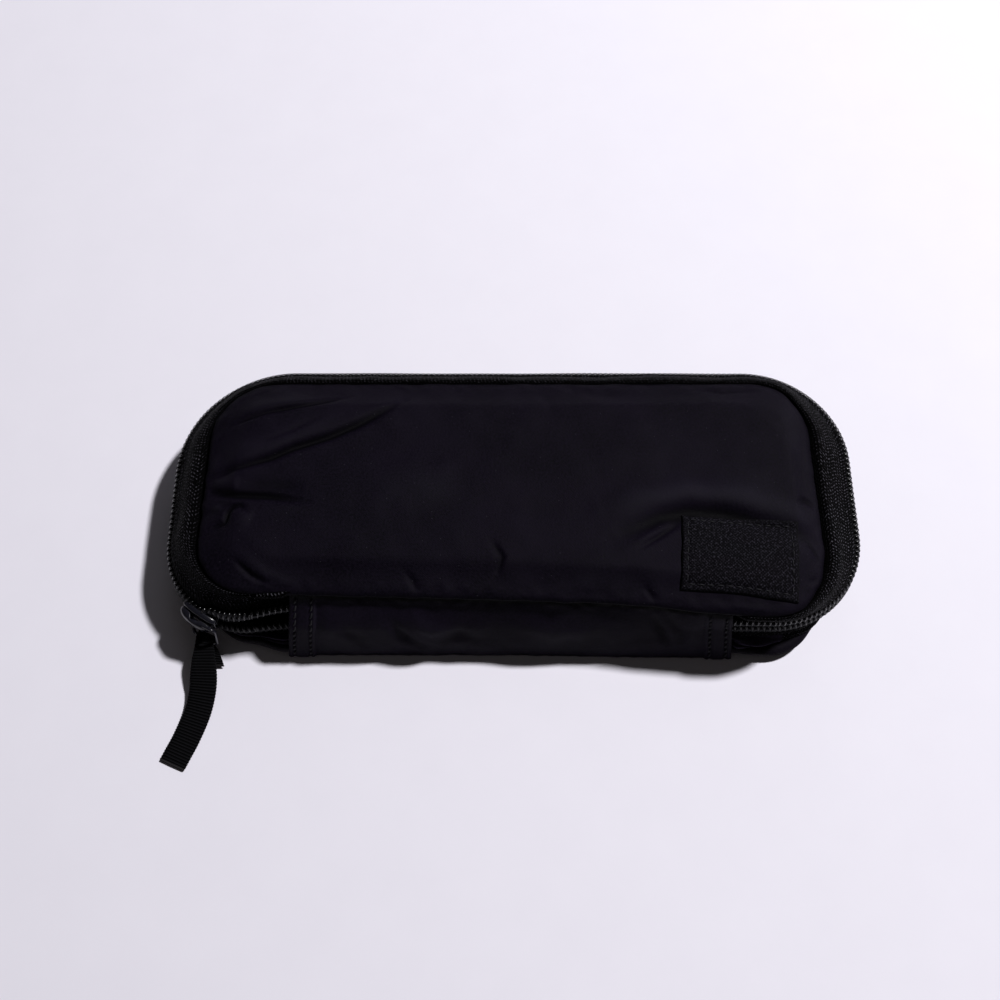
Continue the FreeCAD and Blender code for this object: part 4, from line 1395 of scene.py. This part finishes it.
def make_slider():
    along = np.array([-5.2, -4.9, -4.0, -2.6, -1.0, 0.6, 2.2, 3.6, 4.7, 5.2])
    across = np.array([-1.0, -1.0, -0.99, -0.93, -0.6, -0.2, 0.2, 0.6, 0.93, 0.99, 1.0, 1.0])
    depth = np.array([22.9, 23.4, 23.9, 24.3, 24.5, 24.6, 24.6, 24.5, 24.3, 23.9, 23.4, 22.9])
    ends = 1 - np.array([0.35, 0.05, 0, 0, 0, 0, 0, 0, 0.05, 0.35])
    high = slider_half_high(along)
    a, u = np.broadcast_arrays(along[:, None], across[None, :] * high[:, None])
    radius = PLATE_R + (depth[None, :] - PLATE_R) * ends[:, None]
    plate = slider_point(a, u, radius)
    out = slider_point(a, u * 0.6, radius + 1) - slider_point(a, u * 0.2, radius - 1)
    body = shell("slider_outer_plate", plate, 0.62, outward=unit(out))
    paint_metal(body, 2)
    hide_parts("slider_body")
    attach(body, "slider")
    # inner plate and the post that parts the coils
    a, u = np.broadcast_arrays(along[:, None], np.linspace(-0.78, 0.78, 7)[None, :] * high[:, None])
    grid = slider_point(a, u, np.full(a.shape, INNER_PLATE_R))
    inner = shell("slider_inner_plate", grid, -0.9, outward=-unit(grid - CORNER))
    paint_metal(inner, 2)
    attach(inner, "slider")
    levels = np.linspace(18.9, 24.7, 5)
    ring = ((2.0, 0.0), (3.2, 0.7), (4.6, 0.6), (5.0, 0.0), (4.6, -0.6), (3.2, -0.7))
    points = np.array([[slider_point(forward, up, level) for forward, up in ring] for level in levels])
    faces = grid_faces(len(levels), 6, wrap=True) + [tuple(range(6)), tuple(range(24, 30))]
    post = make_mesh("slider_post", points.reshape(-1, 3), faces)
    fix_normals(post)
    paint_metal(post, 1)
    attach(post, "slider")


def make_cap():
    """Oval cap over the lock spring: a thin arched shell, open at the sides where the link passes through."""
    along = np.array([-5.0, -4.7, -3.9, -2.8, -1.7, -1.0, -0.4, 0.4, 1.0, 1.8, 2.8, 3.7, 4.2, 4.45])
    t = (along + 0.27) / 4.75
    oval = np.sqrt(np.clip(1 - np.abs(t) ** 2.6, 0.0, 1))
    half = 0.35 + 1.85 * oval
    top = 0.3 + 2.1 * oval**0.8
    across = np.array([-1.0, -1.0, -0.96, -0.72, -0.3, 0.3, 0.72, 0.96, 1.0, 1.0])
    lift = np.array([0.0, 0.35, 0.66, 0.90, 1.0, 1.0, 0.90, 0.66, 0.35, 0.0])
    open_side = smooth(-1.5, -0.8, along) * (1 - smooth(0.8, 1.5, along))
    floor = 0.62 * open_side
    share = floor[:, None] + (1 - floor[:, None]) * lift[None, :]
    a, u = np.broadcast_arrays(along[:, None], across[None, :] * half[:, None])
    grid = slider_point(a, u, CAP_R + top[:, None] * share)
    out = slider_point(a, u * 1.2, 30.0) - slider_point(a * 0.9, u * 0.2, 25.0)
    cap = shell("slider_cap_dome", grid, 0.5, outward=unit(out))
    paint_metal(cap, 2)
    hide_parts("slider_cap")
    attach(cap, "slider")


make_slider()
make_cap()


def make_spring():
    """Bent strip under the cap."""
    along = np.array([-3.9, -3.2, -2.2, -1.0, 0.6, 1.6, 2.4, 2.9])
    rise = np.array([0.15, 0.45, 0.55, 0.35, 0.35, 0.55, 0.45, 0.10])
    across = np.linspace(-0.6, 0.6, 5)
    grid = slider_point(*np.broadcast_arrays(along[:, None], across[None, :], SPRING_R + rise[:, None]))
    strip = shell("lock_spring", grid, 0.25, outward=unit(grid - CORNER))
    subdivide(strip, 1)
    dress(strip, STEEL)
    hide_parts("slider_lock_spring")
    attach(strip, "slider")


make_spring()


# ================= webbing pull =================

LINK_AT = slider_point(0.0, 0.0, LINK_R)
LINK_TURN = math.radians(-27)
LINK_WAY = np.array([math.cos(LINK_TURN), math.sin(LINK_TURN), 0.0])
LINK_OUT = np.array([LINK_WAY[1], -LINK_WAY[0], 0.0])
BAR_DROP, BAR_OUT = 6.4, 1.29
BAR_AT = LINK_AT + LINK_WAY * 2.7 + LINK_OUT * BAR_OUT + np.array([0, 0, -BAR_DROP])
RIBBON_ROUTE = ((-80.0, -39.6, 5.3), (-80.0, -42.9, 4.6), (-80.0, -46.7, 3.0), (-80.2, -50.7, 1.6),
                (-81.2, -55.7, 0.5), (-83.2, -61.5, 0.02), (-85.1, -66.0, 0.02), (-86.4, -69.0, 0.02))


def make_link():
    """Wire link through the cap's tunnel: a rounded rectangle whose lower bar holds the webbing."""
    corners = []
    for along, up, start in ((0.4, 0.3, 180), (5.0, 0.3, 90), (5.0, -5.2, 0), (0.4, -5.2, -90)):
        for degrees in (start, start - 30, start - 60, start - 90):
            a = math.radians(degrees)
            drop = up + 1.2 * math.sin(a)
            lean = LINK_OUT * (BAR_OUT * min(max(-drop / BAR_DROP, 0), 1))
            corners.append(LINK_AT + LINK_WAY * (along + 1.2 * math.cos(a)) + lean + np.array([0, 0, drop]))
    corners = np.array(corners + corners[:1])
    distance = lengths_along(corners)
    s = np.linspace(0, distance[-1], 121)[:-1]
    path = interpolate(s, distance, corners)
    link = tubes("wire_link", [tube(path, 0.45, 12, closed=True, up=LINK_OUT)])
    dress(link, PAINT)
    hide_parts("pull_link")
    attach(link, "link")


make_link()


def ribbon_stations():
    up = np.array([0, 0, 1.0])
    fill = 0.72  # share of the webbing's width where the link gathers it
    wrap = []
    for degrees in (-80, -110, -140, -170, -200, -230, -260, -278):
        a = math.radians(degrees)
        out = LINK_OUT * math.cos(a) + up * math.sin(a)
        wrap.append((BAR_AT + out * 1.22, LINK_WAY * fill, out))
    tail = []
    for share in (1.0, 0.8, 0.6, 0.4, 0.2):
        centre = wrap[0][0] + np.array([0.17, -0.985, 0]) * (6.2 * share) + up * (-2.5 * share)
        wide = wrap[0][1] * (1 - share) + np.array([1.0, 0.0, 0]) * share
        tail.append((centre, wide / np.linalg.norm(wide) * (0.85 + 0.15 * share), -up))
    long_ply = []
    points = [np.array([x, y, z + RIBBON_THICK / 2]) for x, y, z in RIBBON_ROUTE]
    for i, point in enumerate(points):
        ahead = points[min(i + 1, len(points) - 1)] - (points[i - 1] if i else wrap[-1][0])
        wide = unit(np.cross(up, ahead))
        thick = np.cross(ahead, wide)
        share = min(1.0, fill + 0.16 * i)
        wide = wide if wide[0] > 0 else -wide
        long_ply.append((point, wide * share, unit(thick if thick[2] > 0 else -thick)))
    return tail + wrap + long_ply


# The webbing's cross-section, as shares of its half width and half thickness
RIBBON_PROFILE = (
    (-1.0, 0.0), (-0.985, 0.75), (-0.93, 1.0), (-0.6, 0.93), (-0.2, 0.96), (0.2, 0.96), (0.6, 0.93),
    (0.93, 1.0), (0.985, 0.75), (1.0, 0.0), (0.985, -0.75), (0.93, -1.0), (0.4, -0.95), (-0.4, -0.95),
    (-0.93, -1.0), (-0.985, -0.75),
)
RIBBON_RIB = 0.75


def make_ribbon():
    """Grosgrain webbing folded through the link; its ribs, edges and melted end are in the mesh."""
    stations = ribbon_stations()
    centre = np.array([s[0] for s in stations])
    wide = np.array([s[1] for s in stations])
    thick = np.array([s[2] for s in stations])
    # even steps along the ribbon
    fine = catmull(np.concatenate([centre, wide, thick], 1), 1200)
    distance = lengths_along(fine[:, :3])
    count = int(distance[-1] / 0.125)
    s = np.linspace(0, distance[-1], count)
    data = interpolate(s, distance, fine)
    c, w, t = data[:, :3], data[:, 3:6], unit(data[:, 6:])
    ribs = np.sin(2 * math.pi * s / RIBBON_RIB)
    end = np.exp(-((s[-1] - s) / 0.45) ** 2)
    start = np.exp(-(s / 0.45) ** 2)
    half_thick = RIBBON_THICK / 2 * (0.80 + 0.17 * ribs - 0.25 * end - 0.2 * start)
    half_wide = RIBBON_WIDE / 2 * (0.985 + 0.012 * ribs - 0.03 * end)
    sides = len(RIBBON_PROFILE)
    cup = 0.10 * smooth(14, 30, s)
    rings = np.zeros((count, sides, 3))
    for k, (across, over) in enumerate(RIBBON_PROFILE):
        bow = cup * (1 - across**2)
        rings[:, k] = c + w * (half_wide * across)[:, None] + t * (half_thick * over + bow)[:, None]
    rings[..., 2] = np.maximum(rings[..., 2], 0.02)
    faces = grid_faces(count, sides, wrap=True) + end_caps(count, sides)
    u = np.repeat(s, sides)
    v = np.tile([across * RIBBON_WIDE / 2 for across, _ in RIBBON_PROFILE], count)
    wear_and_shade = np.repeat(0.9 * end + 0.5 * start, sides)
    obj = make_mesh("webbing_pull", rings.reshape(-1, 3), faces, np.column_stack([u, v]), wear_and_shade)
    fix_normals(obj)
    dress(obj, WEBBING)
    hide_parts("pull_ribbon")
    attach(obj, "ribbon")


make_ribbon()


# ================= floor, light and camera =================

FLOOR_HALF = 3000
# Name, place in metres, size, power and colour
LIGHTS = (
    ("key", (0.89, 0.53, 1.36), 0.15, 36.0, (1.0, 0.985, 0.985)),
    ("soft_back", (0.15, 0.95, 0.75), 1.1, 0.9, (0.90, 0.90, 1.0)),
)


def make_stage():
    corners = [(x * FLOOR_HALF, y * FLOOR_HALF, 0) for x, y in ((-1, -1), (1, -1), (1, 1), (-1, 1))]
    floor = make_mesh("floor", corners, [(0, 1, 2, 3)])
    floor.data.materials.append(paper_floor())
    scene = bpy.context.scene
    scene.world = scene.world or bpy.data.worlds.new("studio")
    scene.world.use_nodes = True
    background = scene.world.node_tree.nodes["Background"]
    background.inputs["Color"].default_value = (1.0, 0.92, 0.88, 1)
    background.inputs["Strength"].default_value = 0.032
    scene.view_settings.view_transform = "Standard"
    for name, place, size, power, colour in LIGHTS:
        data = bpy.data.lights.new(name, "AREA")
        data.shape = "DISK"
        data.size = size
        data.energy = power
        data.color = colour
        lamp = bpy.data.objects.new(name, data)
        lamp.location = place
        lamp.rotation_euler = (-Vector(place)).to_track_quat("-Z", "Y").to_euler()
        scene.collection.objects.link(lamp)


LENS = 41.98
CAMERA_ELEVATION = math.radians(66.18)
CAMERA_AWAY = 312.2
CAMERA_TARGET = (-3.6, -0.4, CHAIN_Z)


def make_camera():
    data = bpy.data.cameras.new("camera")
    data.sensor_width = 36.0
    data.lens = LENS
    camera = bpy.data.objects.new("camera", data)
    back = Vector((0, -math.cos(CAMERA_ELEVATION), math.sin(CAMERA_ELEVATION)))
    camera.location = Vector(CAMERA_TARGET) * MM + back * (CAMERA_AWAY * MM)
    camera.rotation_euler = (-back).to_track_quat("-Z", "Y").to_euler()
    data.clip_start, data.clip_end = 0.01, 20
    bpy.context.scene.collection.objects.link(camera)
    bpy.context.scene.camera = camera


make_stage()
make_camera()
